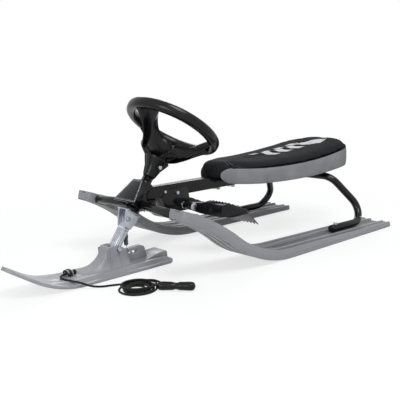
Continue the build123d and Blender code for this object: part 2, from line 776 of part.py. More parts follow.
def brake_claw():
    """The left claw: a steel plate across the pedal's rear end, toothed along its lower edge."""
    width = PEDAL_Y1 - 20
    pitch = width / TOOTH_COUNT
    top = Vector(fore(503), 20, 110.5)
    plane = Plane(top, x_dir=(0, 1, 0), z_dir=(-0.72, 0, 0.69))
    with BuildPart() as claw:
        with BuildSketch(plane):
            with BuildLine():
                edge = [(0, 0), (0, 60)]
                for tooth in range(TOOTH_COUNT):
                    edge += [((tooth + 0.5) * pitch, 50), ((tooth + 1) * pitch, 60)]
                Polyline(*edge, (width, 0), close=True)
            make_face()
        extrude(amount=CLAW_T)
    return claw


claw = brake_claw()
pedal = brake_pedal(claw)
save(pedal, "pedal_left")
save(claw, "claw_left")
for piece, name in ((pedal, "pedal_right"), (claw, "claw_right")):
    with BuildPart() as right:
        mirror(piece.part, about=Plane.XZ)
    save(right, name)

# Tow rope: from the eye on the front ski, over its left edge and along the floor to a loose coil
ROPE_ROUTE = [
    (LUG_X - 9, 0, LUG_Z), (LUG_X + 20, 0, LUG_Z), (LUG_X + 32, 22, 23), (LUG_X + 16, 46, 19),
    (LUG_X - 1, 62, 13.5), (LUG_X - 14, 73, 6), (LUG_X - 34, 86, ROPE_R), (LUG_X - 60, 96, ROPE_R),
    (COIL_X, COIL_Y - COIL_R - 2.6, ROPE_R),
]


def route_radii(points):
    """The largest arc at each corner: 0.45 of its shorter run over the tangent of half the turn."""
    radii = []
    for before, here, after in zip(points, points[1:], points[2:]):
        first, second = Vector(*here) - Vector(*before), Vector(*after) - Vector(*here)
        turn = radians(first.get_angle(second))
        radii.append(0.45 * min(first.length, second.length) / tan(turn / 2))
    return radii


route = [(fore(x), y, z) for x, y, z in ROPE_ROUTE]
radii = route_radii(route)
print("rope radii", [round(r, 1) for r in radii])
with BuildPart() as rope:
    with BuildLine() as rope_path:
        FilletPolyline(*route, radius=radii)
    with BuildSketch(Plane(rope_path.line @ 0, z_dir=rope_path.line % 0)):
        Circle(ROPE_R)
    sweep()
save(rope, "rope_tow")
rope_length = sum(edge.length for edge in rope_path.edges())
print("rope length", round(rope_length), "volume", round(rope.part.volume), "of", round(rope_length * pi * ROPE_R**2))

# Knot behind the eye
with BuildPart() as knot:
    with BuildSketch(Plane.XZ):
        with Locations((fore(LUG_X - 9 - 6), LUG_Z)):
            Circle(6)
    extrude(amount=5, both=True)
save(knot, "rope_knot")

# Coil: the outer shape of the loose turns on the floor
with BuildPart() as coil:
    with BuildSketch(Plane.XY):
        with Locations((fore(COIL_X), COIL_Y)):
            Circle(COIL_R)
            Circle(COIL_HOLE_R, mode=Mode.SUBTRACT)
    extrude(amount=COIL_H)
save(coil, "rope_coil")

# Handle: a two-lobed grip at the rope's end, lying beside the coil
grip_dir = Vector(-0.66, 0.75, 0).normalized()
grip_start = Vector(fore(COIL_X), COIL_Y, COIL_H) + grip_dir * (COIL_R + 0.2)
with BuildPart() as grip:
    with BuildSketch(Plane(grip_start, x_dir=grip_dir, z_dir=(grip_dir.Y, -grip_dir.X, 0))):
        with BuildLine():
            Line((0, 0), (0, 4))
            Line((0, 4), (8, 8.5))
            ThreePointArc((8, 8.5), (26, 7.2), (44, 8.6))
            ThreePointArc((44, 8.6), (62, 6), (GRIP_LENGTH - 5, 8.2))
            Line((GRIP_LENGTH - 5, 8.2), (GRIP_LENGTH, 5))
            Line((GRIP_LENGTH, 5), (GRIP_LENGTH, 0))
            Line((GRIP_LENGTH, 0), (0, 0))
        make_face()
    revolve(axis=Axis(grip_start, grip_dir))
save(grip, "rope_handle")
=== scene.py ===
"""A steerable snow sled: two rear skis and one steered front ski under a black tube frame, with a
padded seat, a steering wheel, toothed foot brakes and a tow rope. Metres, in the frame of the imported
part: +X forwards, +Y the rider's left, +Z up. Sizes written in millimetres are turned by MM."""

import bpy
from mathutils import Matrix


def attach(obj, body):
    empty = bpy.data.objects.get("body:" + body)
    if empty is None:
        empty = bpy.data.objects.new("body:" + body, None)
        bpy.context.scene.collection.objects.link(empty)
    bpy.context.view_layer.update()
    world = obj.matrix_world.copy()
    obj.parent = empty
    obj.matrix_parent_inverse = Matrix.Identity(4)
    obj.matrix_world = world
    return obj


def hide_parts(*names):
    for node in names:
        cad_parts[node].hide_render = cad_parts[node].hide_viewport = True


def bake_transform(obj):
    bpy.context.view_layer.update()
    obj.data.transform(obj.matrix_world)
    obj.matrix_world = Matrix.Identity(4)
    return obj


bl_info = {
    "name": "Snow sled",
    "version": (1, 0, 0),
    "blender": (4, 5, 0),
    "location": "View3D > Sidebar > Sled",
    "description": "Builds the visible pieces of a steerable snow sled around its packed frame",
    "category": "Add Mesh",
}

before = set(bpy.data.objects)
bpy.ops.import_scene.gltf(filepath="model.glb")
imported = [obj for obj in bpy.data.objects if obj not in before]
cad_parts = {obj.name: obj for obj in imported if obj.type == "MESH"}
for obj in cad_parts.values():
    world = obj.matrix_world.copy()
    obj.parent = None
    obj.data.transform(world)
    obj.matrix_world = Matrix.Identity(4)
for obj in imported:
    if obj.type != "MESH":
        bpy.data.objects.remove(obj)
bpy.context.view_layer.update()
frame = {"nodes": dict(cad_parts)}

from math import cos, pi, radians, sin

import bmesh
import bpy
import numpy as np
from mathutils import Matrix, Vector

MM = 0.001
HALF_LENGTH = 575.0
LEAN = radians(35.5)
AXIS_ORIGIN = np.array([77.0, 0.0, 345.0])
AXIS_X = np.array([cos(LEAN), 0.0, sin(LEAN)])
AXIS_Y = np.array([0.0, 1.0, 0.0])
AXIS_Z = np.array([-sin(LEAN), 0.0, cos(LEAN)])


# Places, in metres, from millimetres

def at(x, y, z):
    """Points x ahead of the rear ends of the rear skis, y to the left and z up."""
    x, y, z = np.broadcast_arrays(np.asarray(x, float) - HALF_LENGTH, y, z)
    return np.stack([x, y, z], -1) * MM


def at_points(points):
    """Those places for an array whose last axis is x, y and z."""
    return at(*np.moveaxis(np.asarray(points, float), -1, 0))


def round_axis(r, phi, s):
    """Points r from the steering axis, at angle phi from its forward side, s along it."""
    r, phi, s = (np.asarray(v, float)[..., None] for v in np.broadcast_arrays(r, phi, s))
    return (AXIS_ORIGIN + r * np.cos(phi) * AXIS_X + r * np.sin(phi) * AXIS_Y + s * AXIS_Z) * MM


def across_axis(x, y, s):
    """Points x before and y left of the steering axis, s along it."""
    x, y, s = (np.asarray(v, float)[..., None] for v in np.broadcast_arrays(x, y, s))
    return (AXIS_ORIGIN + x * AXIS_X + y * AXIS_Y + s * AXIS_Z) * MM


# Meshes

def quads(rows, columns, wrap_rows=False):
    """Corner numbers of the quads of a grid whose rows are closed, and which may close the other way."""
    i = np.arange(rows if wrap_rows else rows - 1)[:, None]
    j = np.arange(columns)[None, :]
    ni, nj = (i + 1) % rows, (j + 1) % columns
    corners = [i * columns + j, i * columns + nj, ni * columns + nj, ni * columns + j]
    return np.stack(np.broadcast_arrays(*corners), -1).reshape(-1, 4)


def linked(name, data):
    """A new object of that mesh, curve, lamp or camera, in the scene."""
    obj = bpy.data.objects.new(name, data)
    bpy.context.scene.collection.objects.link(obj)
    return obj


def evaluated_mesh(obj):
    """The mesh that an object's curve or modifiers give."""
    bpy.context.view_layer.update()
    return bpy.data.meshes.new_from_object(obj.evaluated_get(bpy.context.evaluated_depsgraph_get()))


def coordinates(mesh):
    """A mesh's points as rows of x, y and z."""
    values = np.zeros(len(mesh.vertices) * 3)
    mesh.vertices.foreach_get("co", values)
    return values.reshape(-1, 3)


def mesh_object(name, points, faces, sharp=35.0):
    """An object of those points and faces, facing outwards, smooth but for edges sharper than that."""
    mesh = bpy.data.meshes.new(name)
    mesh.from_pydata(np.asarray(points).reshape(-1, 3).tolist(), [], faces)
    tidy_mesh(mesh, sharp)
    return linked(name, mesh)


def tidy_mesh(mesh, sharp):
    """Merges doubled points, turns the faces outwards and shades them smooth up to an angle."""
    bm = bmesh.new()
    bm.from_mesh(mesh)
    bmesh.ops.remove_doubles(bm, verts=bm.verts, dist=1e-6)
    bmesh.ops.recalc_face_normals(bm, faces=bm.faces)
    for face in bm.faces:
        face.smooth = True
    bm.to_mesh(mesh)
    bm.free()
    mesh.set_sharp_from_angle(angle=radians(sharp))


def skin(name, grid, wrap_rows=False, sharp=35.0):
    """A skin over a grid of rows of points, each row closed, with flat caps at both ends unless the rows
    close on themselves too. Its UV is the length along the rows' middles and the share of the way round."""
    grid = np.asarray(grid, float)
    rows, columns = grid.shape[:2]
    faces = quads(rows, columns, wrap_rows).tolist()
    if not wrap_rows:
        faces.append(list(range(columns))[::-1])
        faces.append(list(range((rows - 1) * columns, rows * columns)))
    mesh = bpy.data.meshes.new(name)
    mesh.from_pydata(grid.reshape(-1, 3).tolist(), [], faces)
    middles = grid.mean(1)
    along = np.r_[0.0, np.cumsum(np.linalg.norm(np.diff(middles, axis=0), axis=1))]
    along = np.r_[along, along[-1] + np.linalg.norm(middles[0] - middles[-1])]
    strips = rows if wrap_rows else rows - 1
    corner_rows = np.array([[0, 0, 1, 1]]) + np.repeat(np.arange(strips), columns)[:, None]
    corner_columns = np.array([[0, 1, 1, 0]]) + np.tile(np.arange(columns), strips)[:, None]
    uv = np.zeros((len(mesh.loops), 2))
    placed = np.stack([along[corner_rows], corner_columns / columns], -1).reshape(-1, 2)
    uv[:len(placed)] = placed
    mesh.uv_layers.new(name="UVMap").data.foreach_set("uv", uv.ravel())
    tidy_mesh(mesh, sharp)
    return linked(name, mesh)


def squared(wave, power):
    """A sine or cosine with its size raised to a power and its sign kept, for squarer rounds."""
    return np.sign(wave) * np.abs(wave) ** power


def mirrored(half):
    """A closed section of its half and that half's mirror image, which share their first and last points."""
    half = np.array(half, float)
    return np.concatenate([half, half[-2:0:-1] * np.r_[-1, np.ones(half.shape[1] - 1)]])


def full_turn(count):
    """Angles evenly spaced round a circle."""
    return np.linspace(0, 2 * pi, count, endpoint=False)


def circle(sides, first, second):
    """Unit circles in the planes of two square directions, which may be one pair or a pair for each row."""
    turn = full_turn(sides)[:, None]
    return np.cos(turn) * np.asarray(first)[..., None, :] + np.sin(turn) * np.asarray(second)[..., None, :]


def unit(vectors):
    """Vectors made one long."""
    vectors = np.asarray(vectors, float)
    return vectors / np.linalg.norm(vectors, axis=-1, keepdims=True)


def square_to(axis, hint=(0.3, 0.5, 0.81)):
    """An axis and two directions square to it, made one long; the first is square to the hint too."""
    axis = unit(axis)
    first = unit(np.cross(axis, hint))
    return axis, first, np.cross(axis, first)


def pipe(name, path, radius, up=(0, 0, 1), sides=24):
    """A round pipe: circles of that radius, one number or one for each point, square to a path; they
    start on the side that is square to up."""
    path = np.asarray(path, float)
    tangent = unit(np.gradient(path, axis=0))
    side = unit(np.cross(np.asarray(up, float), tangent))
    rise = np.cross(tangent, side)
    reach = np.broadcast_to(np.asarray(radius, float), len(path))[:, None, None]
    return skin(name, path[:, None] + reach * circle(sides, side, rise))


def rounded_path(corners, radii, step=4.0):
    """Points along straight runs joined by tangent arcs, a few millimetres apart on the arcs."""
    corners = np.asarray(corners, float)
    points = [corners[:1]]
    for before, here, after, radius in zip(corners, corners[1:], corners[2:], radii):
        a, b = unit(before - here), unit(after - here)
        half = np.arccos(np.clip(a @ b, -1, 1)) / 2
        middle = here + unit(a + b) * radius / np.sin(half)
        first, last = here + a * radius / np.tan(half), here + b * radius / np.tan(half)
        sweep = pi - 2 * half
        t = np.linspace(0, 1, max(4, int(sweep * radius / step)))[:, None]
        arms = np.sin((1 - t) * sweep) * (first - middle) + np.sin(t * sweep) * (last - middle)
        points.append(middle + arms / np.sin(sweep))
    points.append(corners[-1:])
    return np.concatenate(points)


def spun(name, profile, origin, axis, sides):
    """A turned solid: a profile of (distance along, radius) carried round an axis through an origin."""
    axis, first, second = square_to(axis)
    profile = np.asarray(profile, float)
    grid = profile[:, 0, None, None] * axis + profile[:, 1, None, None] * circle(sides, first, second)
    return skin(name, np.asarray(origin, float) + grid * MM)


def plate(name, outlines, thickness, origin, across, up, edge=0.5):
    """A flat plate with softened edges: closed outlines in millimetres, the first the outside and the
    others holes, drawn from origin along across and up, and as thick to both sides of them."""
    curve = bpy.data.curves.new(name, "CURVE")
    curve.dimensions = "2D"
    curve.fill_mode = "BOTH"
    curve.extrude = (thickness / 2 - edge) * MM
    curve.bevel_depth = edge * MM
    curve.offset = -edge * MM
    curve.bevel_resolution = 2
    for outline in outlines:
        outline = np.asarray(outline, float) * MM
        spline = curve.splines.new("POLY")
        spline.points.add(len(outline) - 1)
        spline.points.foreach_set("co", np.c_[outline, np.zeros(len(outline)), np.ones(len(outline))].ravel())
        spline.use_cyclic_u = True
    holder = linked(name + ".flat", curve)
    mesh = evaluated_mesh(holder)
    bpy.data.objects.remove(holder)
    across, up = Vector(across).normalized(), Vector(up).normalized()
    turn = Matrix((across, up, across.cross(up))).transposed().to_4x4()
    mesh.transform(Matrix.Translation(Vector(origin)) @ turn)
    mesh.name = name
    tidy_mesh(mesh, 35.0)
    return linked(name, mesh)


def joined(name, parts):
    """One object of several."""
    bm = bmesh.new()
    for part in parts:
        bm.from_mesh(part.data)
    mesh = bpy.data.meshes.new(name)
    bm.to_mesh(mesh)
    bm.free()
    for part in parts:
        bpy.data.objects.remove(part)
    return linked(name, mesh)


def softened(name, node, radius):
    """A copy of a CAD node's solid, its doubles merged and its edges rounded."""
    mesh = frame["nodes"][node].data.copy()
    mesh.name = name
    mesh.materials.clear()
    bm = bmesh.new()
    bm.from_mesh(mesh)
    bmesh.ops.remove_doubles(bm, verts=bm.verts, dist=2e-6)
    bmesh.ops.dissolve_limit(bm, angle_limit=radians(2), verts=bm.verts, edges=bm.edges)
    bm.to_mesh(mesh)
    bm.free()
    obj = linked(name, mesh)
    return edge_round(obj, radius, angle=25.0, sharp=40.0)


def bake(obj):
    """Applies an object's modifiers to its mesh."""
    mesh = evaluated_mesh(obj)
    obj.modifiers.clear()
    obj.data = mesh
    return obj


def bevelled(obj, width, angle):
    """Rounds a piece's edges that are sharper than an angle, by that many millimetres."""
    bevel = obj.modifiers.new("edges", "BEVEL")
    bevel.width = width * MM
    bevel.segments = 2
    bevel.limit_method = "ANGLE"
    bevel.angle_limit = radians(angle)
    return bake(obj)


def smooth(obj):
    """Shades every face of a piece smooth."""
    obj.data.polygons.foreach_set("use_smooth", [True] * len(obj.data.polygons))


def edge_round(obj, width, angle=35.0, sharp=45.0):
    """Rounds a piece's hard edges and shades the rest smooth."""
    bevelled(obj, width, angle)
    smooth(obj)
    obj.data.set_sharp_from_angle(angle=radians(sharp))
    return obj


def place(obj, body, finish, nodes=()):
    """Gives a piece its finish and the body it rides on, and hides the nodes it stands for."""
    obj.data.materials.clear()
    obj.data.materials.append(finish)
    if nodes:
        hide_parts(*nodes)
    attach(obj, body)
    return obj


# Finishes

class Finish:
    """A procedural material on the piece's own coordinates, built up from a base shader."""

    def __init__(self, name, color, roughness, metallic=0.0, **shader):
        self.material = bpy.data.materials.new(name)
        self.material.use_nodes = True
        self.tree = self.material.node_tree
        self.shader = self.tree.nodes["Principled BSDF"]
        self.shader.inputs["Base Color"].default_value = (*color, 1)
        self.shader.inputs["Roughness"].default_value = roughness
        self.shader.inputs["Metallic"].default_value = metallic
        for key, value in shader.items():
            self.shader.inputs[key.replace("_", " ")].default_value = value
        self.place = self.node("ShaderNodeTexCoord").outputs["Object"]
        self.height = None

    def node(self, kind, **settings):
        node = self.tree.nodes.new(kind)
        for key, value in settings.items():
            setattr(node, key, value)
        return node

    def link(self, source, target):
        self.tree.links.new(source, target)

    def scaled(self, scale, source=None):
        """The piece's coordinates stretched by a scale in x, y and z."""
        mapping = self.node("ShaderNodeMapping")
        mapping.inputs["Scale"].default_value = scale
        self.link(source or self.place, mapping.inputs["Vector"])
        return mapping.outputs["Vector"]

    def noise(self, scale, detail=4.0, stretch=(1, 1, 1)):
        noise = self.node("ShaderNodeTexNoise")
        noise.inputs["Scale"].default_value = scale
        noise.inputs["Detail"].default_value = detail
        self.link(self.scaled(stretch), noise.inputs["Vector"])
        return noise.outputs["Fac"]

    def spread(self, value, low, high, inner=(0.3, 0.7)):
        """A value's inner range carried to another range."""
        ramp = self.node("ShaderNodeMapRange")
        for key, number in zip(("From Min", "From Max", "To Min", "To Max"), (*inner, low, high)):
            ramp.inputs[key].default_value = number
        self.link(value, ramp.inputs["Value"])
        return ramp.outputs["Result"]

    def maths(self, operation, first, second=0.0):
        node = self.node("ShaderNodeMath", operation=operation)
        for socket, value in zip(node.inputs, (first, second)):
            if isinstance(value, (int, float)):
                socket.default_value = value
            else:
                self.link(value, socket)
        return node.outputs[0]

    def parts(self, vector):
        """A vector's x, y and z."""
        split = self.node("ShaderNodeSeparateXYZ")
        self.link(vector, split.inputs[0])
        return split.outputs

    def unrolled(self):
        """The piece's UV: metres along it and the share of the way round."""
        return self.node("ShaderNodeTexCoord").outputs["UV"]

    def near(self, value, middle, reach):
        """One where a value is within reach of a middle, and nothing elsewhere."""
        away = self.maths("ABSOLUTE", self.maths("SUBTRACT", value, middle))
        return self.maths("LESS_THAN", away, reach)

    def tint(self, value, first, second):
        """The base colour mixed between two colours by a value."""
        mix = self.node("ShaderNodeMix", data_type="RGBA")
        self.link(value, mix.inputs["Factor"])
        for socket, color in (("A", first), ("B", second)):
            named = [s for s in mix.inputs if s.name == socket and s.type == "RGBA"][0]
            if isinstance(color, tuple):
                named.default_value = (*color, 1)
            else:
                self.link(color, named)
        result = [s for s in mix.outputs if s.type == "RGBA"][0]
        self.link(result, self.shader.inputs["Base Color"])
        return result

    def rough(self, value):
        self.link(value, self.shader.inputs["Roughness"])

    def bump(self, value, depth, strength):
        """Relief of a value, that many metres deep, on top of any before it."""
        bump = self.node("ShaderNodeBump")
        bump.inputs["Strength"].default_value = strength
        bump.inputs["Distance"].default_value = depth
        self.link(value, bump.inputs["Height"])
        if self.height:
            self.link(self.height, bump.inputs["Normal"])
        self.height = bump.outputs["Normal"]
        self.link(self.height, self.shader.inputs["Normal"])


def shade(color, amount):
    return tuple(min(1.0, channel * amount) for channel in color)


def moulded(name, color, roughness, grain=900.0, along=0.25, gloss=0.4):
    """Moulded plastic: faint cloudiness, flow streaks along the piece, fine grain and light scuffs."""
    finish = Finish(name, color, roughness, Specular_IOR_Level=gloss)
    cloud = finish.noise(7.0, 3.0)
    streak = finish.noise(60.0, 5.0, (along, 1, 1))
    both = finish.maths("ADD", finish.maths("MULTIPLY", cloud, 0.6), finish.maths("MULTIPLY", streak, 0.4))
    finish.tint(finish.spread(both, 0.0, 1.0, (0.35, 0.65)), shade(color, 0.93), shade(color, 1.07))
    finish.rough(finish.spread(streak, roughness - 0.07, roughness + 0.10))
    finish.bump(finish.noise(grain, 2.0), 0.00004, 0.35)
    finish.bump(finish.noise(5.0, 2.0), 0.0012, 0.12)
    return finish.material


def powder_coat(name, color, roughness):
    """Gloss powder coat on steel: orange peel, dust in the gloss and a clear top."""
    finish = Finish(name, color, roughness, Specular_IOR_Level=0.2, Coat_Weight=0.12, Coat_Roughness=0.08)
    finish.tint(finish.noise(30.0, 5.0), shade(color, 0.8), shade(color, 1.3))
    finish.rough(finish.spread(finish.noise(18.0, 4.0), roughness - 0.05, roughness + 0.10))
    finish.bump(finish.noise(420.0, 1.0), 0.00004, 0.2)
    return finish.material


def plated(name, color, roughness):
    """Zinc-plated or bare steel: a drawn grain, cloudy passivation and small dull spots."""
    finish = Finish(name, color, roughness, metallic=1.0)
    cloud = finish.noise(55.0, 6.0)
    finish.tint(finish.spread(cloud, 0.0, 1.0), shade(color, 0.82), shade(color, 1.08))
    grain = finish.noise(500.0, 3.0, (1, 1, 0.12))
    finish.rough(finish.spread(grain, roughness - 0.08, roughness + 0.14))
    finish.bump(grain, 0.00005, 0.4)
    return finish.material


def woven(name, color, pitch, upright=False, pattern=None):
    """Coated upholstery cloth: crossed threads at a fixed pitch, with painted shade between them, worn lighter here and
    there. On upright cloth they run round the piece, by its UV, and up it."""
    finish = Finish(name, color, 0.8, Specular_IOR_Level=0.03, Sheen_Weight=0.015, Sheen_Roughness=0.45)
    warp, weft, height = finish.parts(finish.place)
    if upright:
        warp, weft = finish.parts(finish.unrolled())[0], height
    waves = []
    for thread in (warp, weft):
        wave = finish.maths("SINE", finish.maths("MULTIPLY", thread, 2 * pi / pitch))
        waves.append(finish.spread(wave, 0.0, 1.0, (-1.0, 1.0)))
    threads = finish.maths("MULTIPLY", *waves)
    worn = finish.noise(22.0, 5.0)
    # the colour mixes real wear with painted shade between the threads and a painted highlight on their crests
    mixed = finish.maths("ADD", finish.maths("MULTIPLY", threads, 0.3), finish.maths("MULTIPLY", worn, 0.7))
    ground = finish.tint(mixed, shade(color, 0.7), shade(color, 1.45))
    if pattern:
        pattern(finish, ground)
    finish.rough(finish.spread(worn, 0.72, 0.92))
    finish.bump(threads, 0.00012, 0.45)
    finish.bump(finish.noise(38.0, 3.0), 0.0010, 0.12)
    return finish.material


BRAID_PITCH, BRAID_STRANDS = 0.009, 3


def braided(name, color):
    """Braided cord on the piece's own UV: strands crossing both ways round it, with painted shade in the gaps between
    them and a painted highlight on their crests.
    """
    finish = Finish(name, color, 0.7, Specular_IOR_Level=0.2, Sheen_Weight=0.06, Sheen_Roughness=0.5)
    run, share, _ = finish.parts(finish.unrolled())
    along = finish.maths("MULTIPLY", run, 2 * pi / BRAID_PITCH)
    around = finish.maths("MULTIPLY", share, 2 * pi * BRAID_STRANDS)
    strands = finish.maths(
        "MAXIMUM",
        finish.maths("SINE", finish.maths("ADD", along, around)),
        finish.maths("SINE", finish.maths("SUBTRACT", along, around)),
    )
    # painted shade in the gaps between the strands and a painted highlight on their crests
    finish.tint(finish.spread(strands, 0.0, 1.0, (-0.6, 1.0)), shade(color, 0.35), shade(color, 1.6))
    finish.bump(strands, 0.0006, 0.8)
    finish.bump(finish.noise(1400.0, 2.0), 0.0001, 0.3)
    return finish.material


def rubbery(name, color):
    """Matt rubber with a dusty bloom."""
    finish = Finish(name, color, 0.75)
    bloom = finish.noise(90.0, 6.0)
    finish.tint(bloom, shade(color, 0.7), shade(color, 1.6))
    finish.bump(finish.noise(900.0, 2.0), 0.00005, 0.4)
    return finish.material


BARS, BARS_START, BAR_STEP, BAR_SHARE = 5, -0.53, 0.056, 0.54
BAR_SLANT, BAR_HALF = 0.55, 0.036


def stripes(finish, ground):
    """Five pale slanting bars printed along the rear half of the seat, a little worn at their edges."""
    ahead, aside, _ = finish.parts(finish.place)
    slant = finish.maths("ADD", ahead, finish.maths("MULTIPLY", aside, BAR_SLANT))
    step = finish.maths("DIVIDE", finish.maths("ADD", slant, -BARS_START), BAR_STEP)
    within = finish.near(finish.maths("FRACT", step), 0.5, BAR_SHARE / 2)
    ends = finish.near(step, BARS / 2, BARS / 2)
    side = finish.near(aside, 0.0, BAR_HALF)
    worn = finish.maths("GREATER_THAN", finish.noise(260.0, 3.0), 0.36)
    mask = finish.maths("MULTIPLY", finish.maths("MULTIPLY", within, ends), finish.maths("MULTIPLY", side, worn))
    finish.tint(mask, ground, (0.55, 0.55, 0.55))


# Sizes and colours that a user would change

def colour(name, description, value):
    return bpy.props.FloatVectorProperty(
        name=name, description=description, subtype="COLOR", size=3, min=0, max=1, default=value)


def length(name, description, value):
    return bpy.props.FloatProperty(name=name, description=description, unit="LENGTH", min=0, default=value)


class SledColours(bpy.types.PropertyGroup):
    rear_ski: colour("Rear skis", "Moulded plastic of the rear skis", (0.215, 0.215, 0.23))
    front_ski: colour("Front ski", "Moulded plastic of the front ski", (0.25, 0.25, 0.27))
    # painted shade: a darker grey for the recesses of the rear skis' decks and the grooves below them
    ski_deck: colour("Ski recess shade", "Recessed bands along the rear skis' decks", (0.11, 0.11, 0.12))
    frame: colour("Frame", "Powder coat of the steel frame", (0.005, 0.005, 0.0055))
    black: colour("Black plastic", "Wheel, head cover and pedals", (0.006, 0.006, 0.007))
    zinc: colour("Zinc plate", "Leg, fork and fasteners", (0.44, 0.46, 0.51))
    claw: colour("Claw steel", "Toothed plates of the brakes", (0.14, 0.14, 0.15))
    seat_top: colour("Seat top", "Cloth on top of the seat", (0.017, 0.017, 0.019))
    seat_side: colour("Seat side", "Cloth round the side of the seat", (0.20, 0.20, 0.212))
    rope: colour("Rope", "Braided tow rope", (0.006, 0.006, 0.0065))
    rubber: colour("Rubber", "Damper and bump stops", (0.055, 0.055, 0.06))


class SledSizes(bpy.types.PropertyGroup):
    rope: length("Rope", "Diameter of the tow rope", 0.005)
    tube: length("Tube", "Diameter of the frame's tubes", 0.022)
    dot: length("Tread dot", "Width of the raised dots on the pedals", 0.006)
    stitch: length("Stitch", "Length of one stitch of the seat's seams", 0.005)


FINISHES = {}


class SLED_OT_finishes(bpy.types.Operator):
    """Makes the sled's materials from its colours"""

    bl_idname = "sled.finishes"
    bl_label = "Finishes"

    def execute(self, context):
        colours = context.scene.sled_colours
        FINISHES.update(
            rear_ski=moulded("rear ski plastic", tuple(colours.rear_ski), 0.36),
            front_ski=moulded("front ski plastic", tuple(colours.front_ski), 0.34),
            frame=powder_coat("black powder coat", tuple(colours.frame), 0.16),
            # painted shade: the darker grey laid in the rear skis' recesses
            ski_deck=moulded("painted ski recess shade", tuple(colours.ski_deck), 0.42),
            black=moulded("black moulding", tuple(colours.black), 0.22, 1400.0, 1.0, 0.22),
            zinc=plated("zinc plate", tuple(colours.zinc), 0.24),
            claw=plated("claw steel", tuple(colours.claw), 0.42),
            seat_top=woven("seat top cloth", tuple(colours.seat_top), 0.0011, pattern=stripes),
            seat_side=woven("seat side cloth", tuple(colours.seat_side), 0.0009, upright=True),
            thread=moulded("seat thread", (0.16, 0.16, 0.165), 0.6),
            rope=braided("tow rope braid", tuple(colours.rope)),
            rubber=rubbery("rubber", tuple(colours.rubber)),
        )
        return {"FINISHED"}


# Stage

CAMERA_PLACE = (1.0997, 1.2407, 0.4541)
CAMERA_RIGHT = (-0.75782, 0.65159, -0.03365)
CAMERA_UP = (-0.14239, -0.11483, 0.98313)
CAMERA_BACK = (0.63674, 0.74983, 0.17980)
CAMERA_LENS = 55.06
CAMERA_SHIFT = (0.04, -0.01)

# Name, place, size in metres and power in watts
LAMPS = (
    ("key", (0.3, 1.5, 2.5), 1.5, 56.0),
    ("fill", (2.7, 0.9, 1.2), 1.4, 22.0),
    ("back", (-1.5, -1.9, 2.0), 1.6, 34.0),
)
LAMPS_AIM = (0, 0, 0.15)
FLOOR_REACH, FLOOR_Z = 12.0, -0.0004


class SLED_OT_stage(bpy.types.Operator):
    """Makes the camera, a white floor, soft lamps and an even sky"""

    bl_idname = "sled.stage"
    bl_label = "Stage"

    def execute(self, context):
        scene = context.scene
        scene.view_settings.view_transform = "Standard"
        camera = bpy.data.cameras.new("camera")
        camera.lens = CAMERA_LENS
        camera.sensor_width = 36.0
        camera.shift_x, camera.shift_y = CAMERA_SHIFT
        camera.dof.use_dof = False
        holder = linked("camera", camera)
        turn = Matrix((CAMERA_RIGHT, CAMERA_UP, CAMERA_BACK)).transposed().to_4x4()
        holder.matrix_world = Matrix.Translation(CAMERA_PLACE) @ turn
        scene.camera = holder
        for name, where, size, power in LAMPS:
            lamp = bpy.data.lights.new(name, "AREA")
            lamp.shape = "DISK"
            lamp.size = size
            lamp.energy = power
            obj = linked(name, lamp)
            obj.location = where
            obj.rotation_euler = (Vector(LAMPS_AIM) - Vector(where)).to_track_quat("-Z", "Y").to_euler()
        self.sky(scene)
        self.floor()
        return {"FINISHED"}

    def sky(self, scene):
        """White where the camera, gloss or glass sees it, and a soft grey light elsewhere."""
        world = bpy.data.worlds.new("sky")
        world.use_nodes = True
        scene.world = world
        nodes, links = world.node_tree.nodes, world.node_tree.links
        soft = nodes["Background"]
        soft.inputs["Color"].default_value = (0.93, 0.96, 1.0, 1)
        soft.inputs["Strength"].default_value = 0.40
        white = nodes.new("ShaderNodeBackground")
        white.inputs["Color"].default_value = (1, 1, 1, 1)
        white.inputs["Strength"].default_value = 1.0
        path = nodes.new("ShaderNodeLightPath")
        mix = nodes.new("ShaderNodeMixShader")
        seen = path.outputs["Is Camera Ray"]
        for other in ("Is Glossy Ray", "Is Transmission Ray"):
            either = nodes.new("ShaderNodeMath")
            either.operation = "MAXIMUM"
            links.new(seen, either.inputs[0])
            links.new(path.outputs[other], either.inputs[1])
            seen = either.outputs[0]
        links.new(seen, mix.inputs["Fac"])
        links.new(soft.outputs[0], mix.inputs[1])
        links.new(white.outputs[0], mix.inputs[2])
        links.new(mix.outputs[0], nodes["World Output"].inputs["Surface"])

    def floor(self):
        """A wide pale floor, a hair below the skis."""
        corners = [(FLOOR_REACH * x, FLOOR_REACH * y, FLOOR_Z) for x, y in ((-1, -1), (1, -1), (1, 1), (-1, 1))]
        floor = mesh_object("floor", corners, [(0, 1, 2, 3)])
        finish = Finish("floor", (0.86, 0.86, 0.865), 0.9)
        finish.bump(finish.noise(30.0, 2.0), 0.0002, 0.1)
        finish.tint(finish.noise(2.0, 2.0), (0.85, 0.85, 0.855), (0.87, 0.87, 0.875))
        shader = finish.tree.nodes["Principled BSDF"]
        glow = finish.node("ShaderNodeEmission")
        glow.inputs["Color"].default_value = (1, 1, 1, 1)
        lift = finish.node("ShaderNodeMixShader")
        path = finish.node("ShaderNodeLightPath")
        away = finish.node("ShaderNodeVectorMath", operation="LENGTH")
        finish.link(finish.place, away.inputs[0])
        whiter = finish.spread(away.outputs["Value"], 0.70, 1.0, (0.35, 1.2))
        seen = finish.maths("MAXIMUM", path.outputs["Is Camera Ray"], path.outputs["Is Glossy Ray"])
        seen = finish.maths("MAXIMUM", seen, path.outputs["Is Transmission Ray"])
        share = finish.maths("MULTIPLY", seen, whiter)
        finish.link(share, lift.inputs["Fac"])
        finish.link(shader.outputs[0], lift.inputs[1])
        finish.link(glow.outputs[0], lift.inputs[2])
        finish.link(lift.outputs[0], finish.tree.nodes["Material Output"].inputs["Surface"])
        floor.data.materials.append(finish.material)


# Tow rope

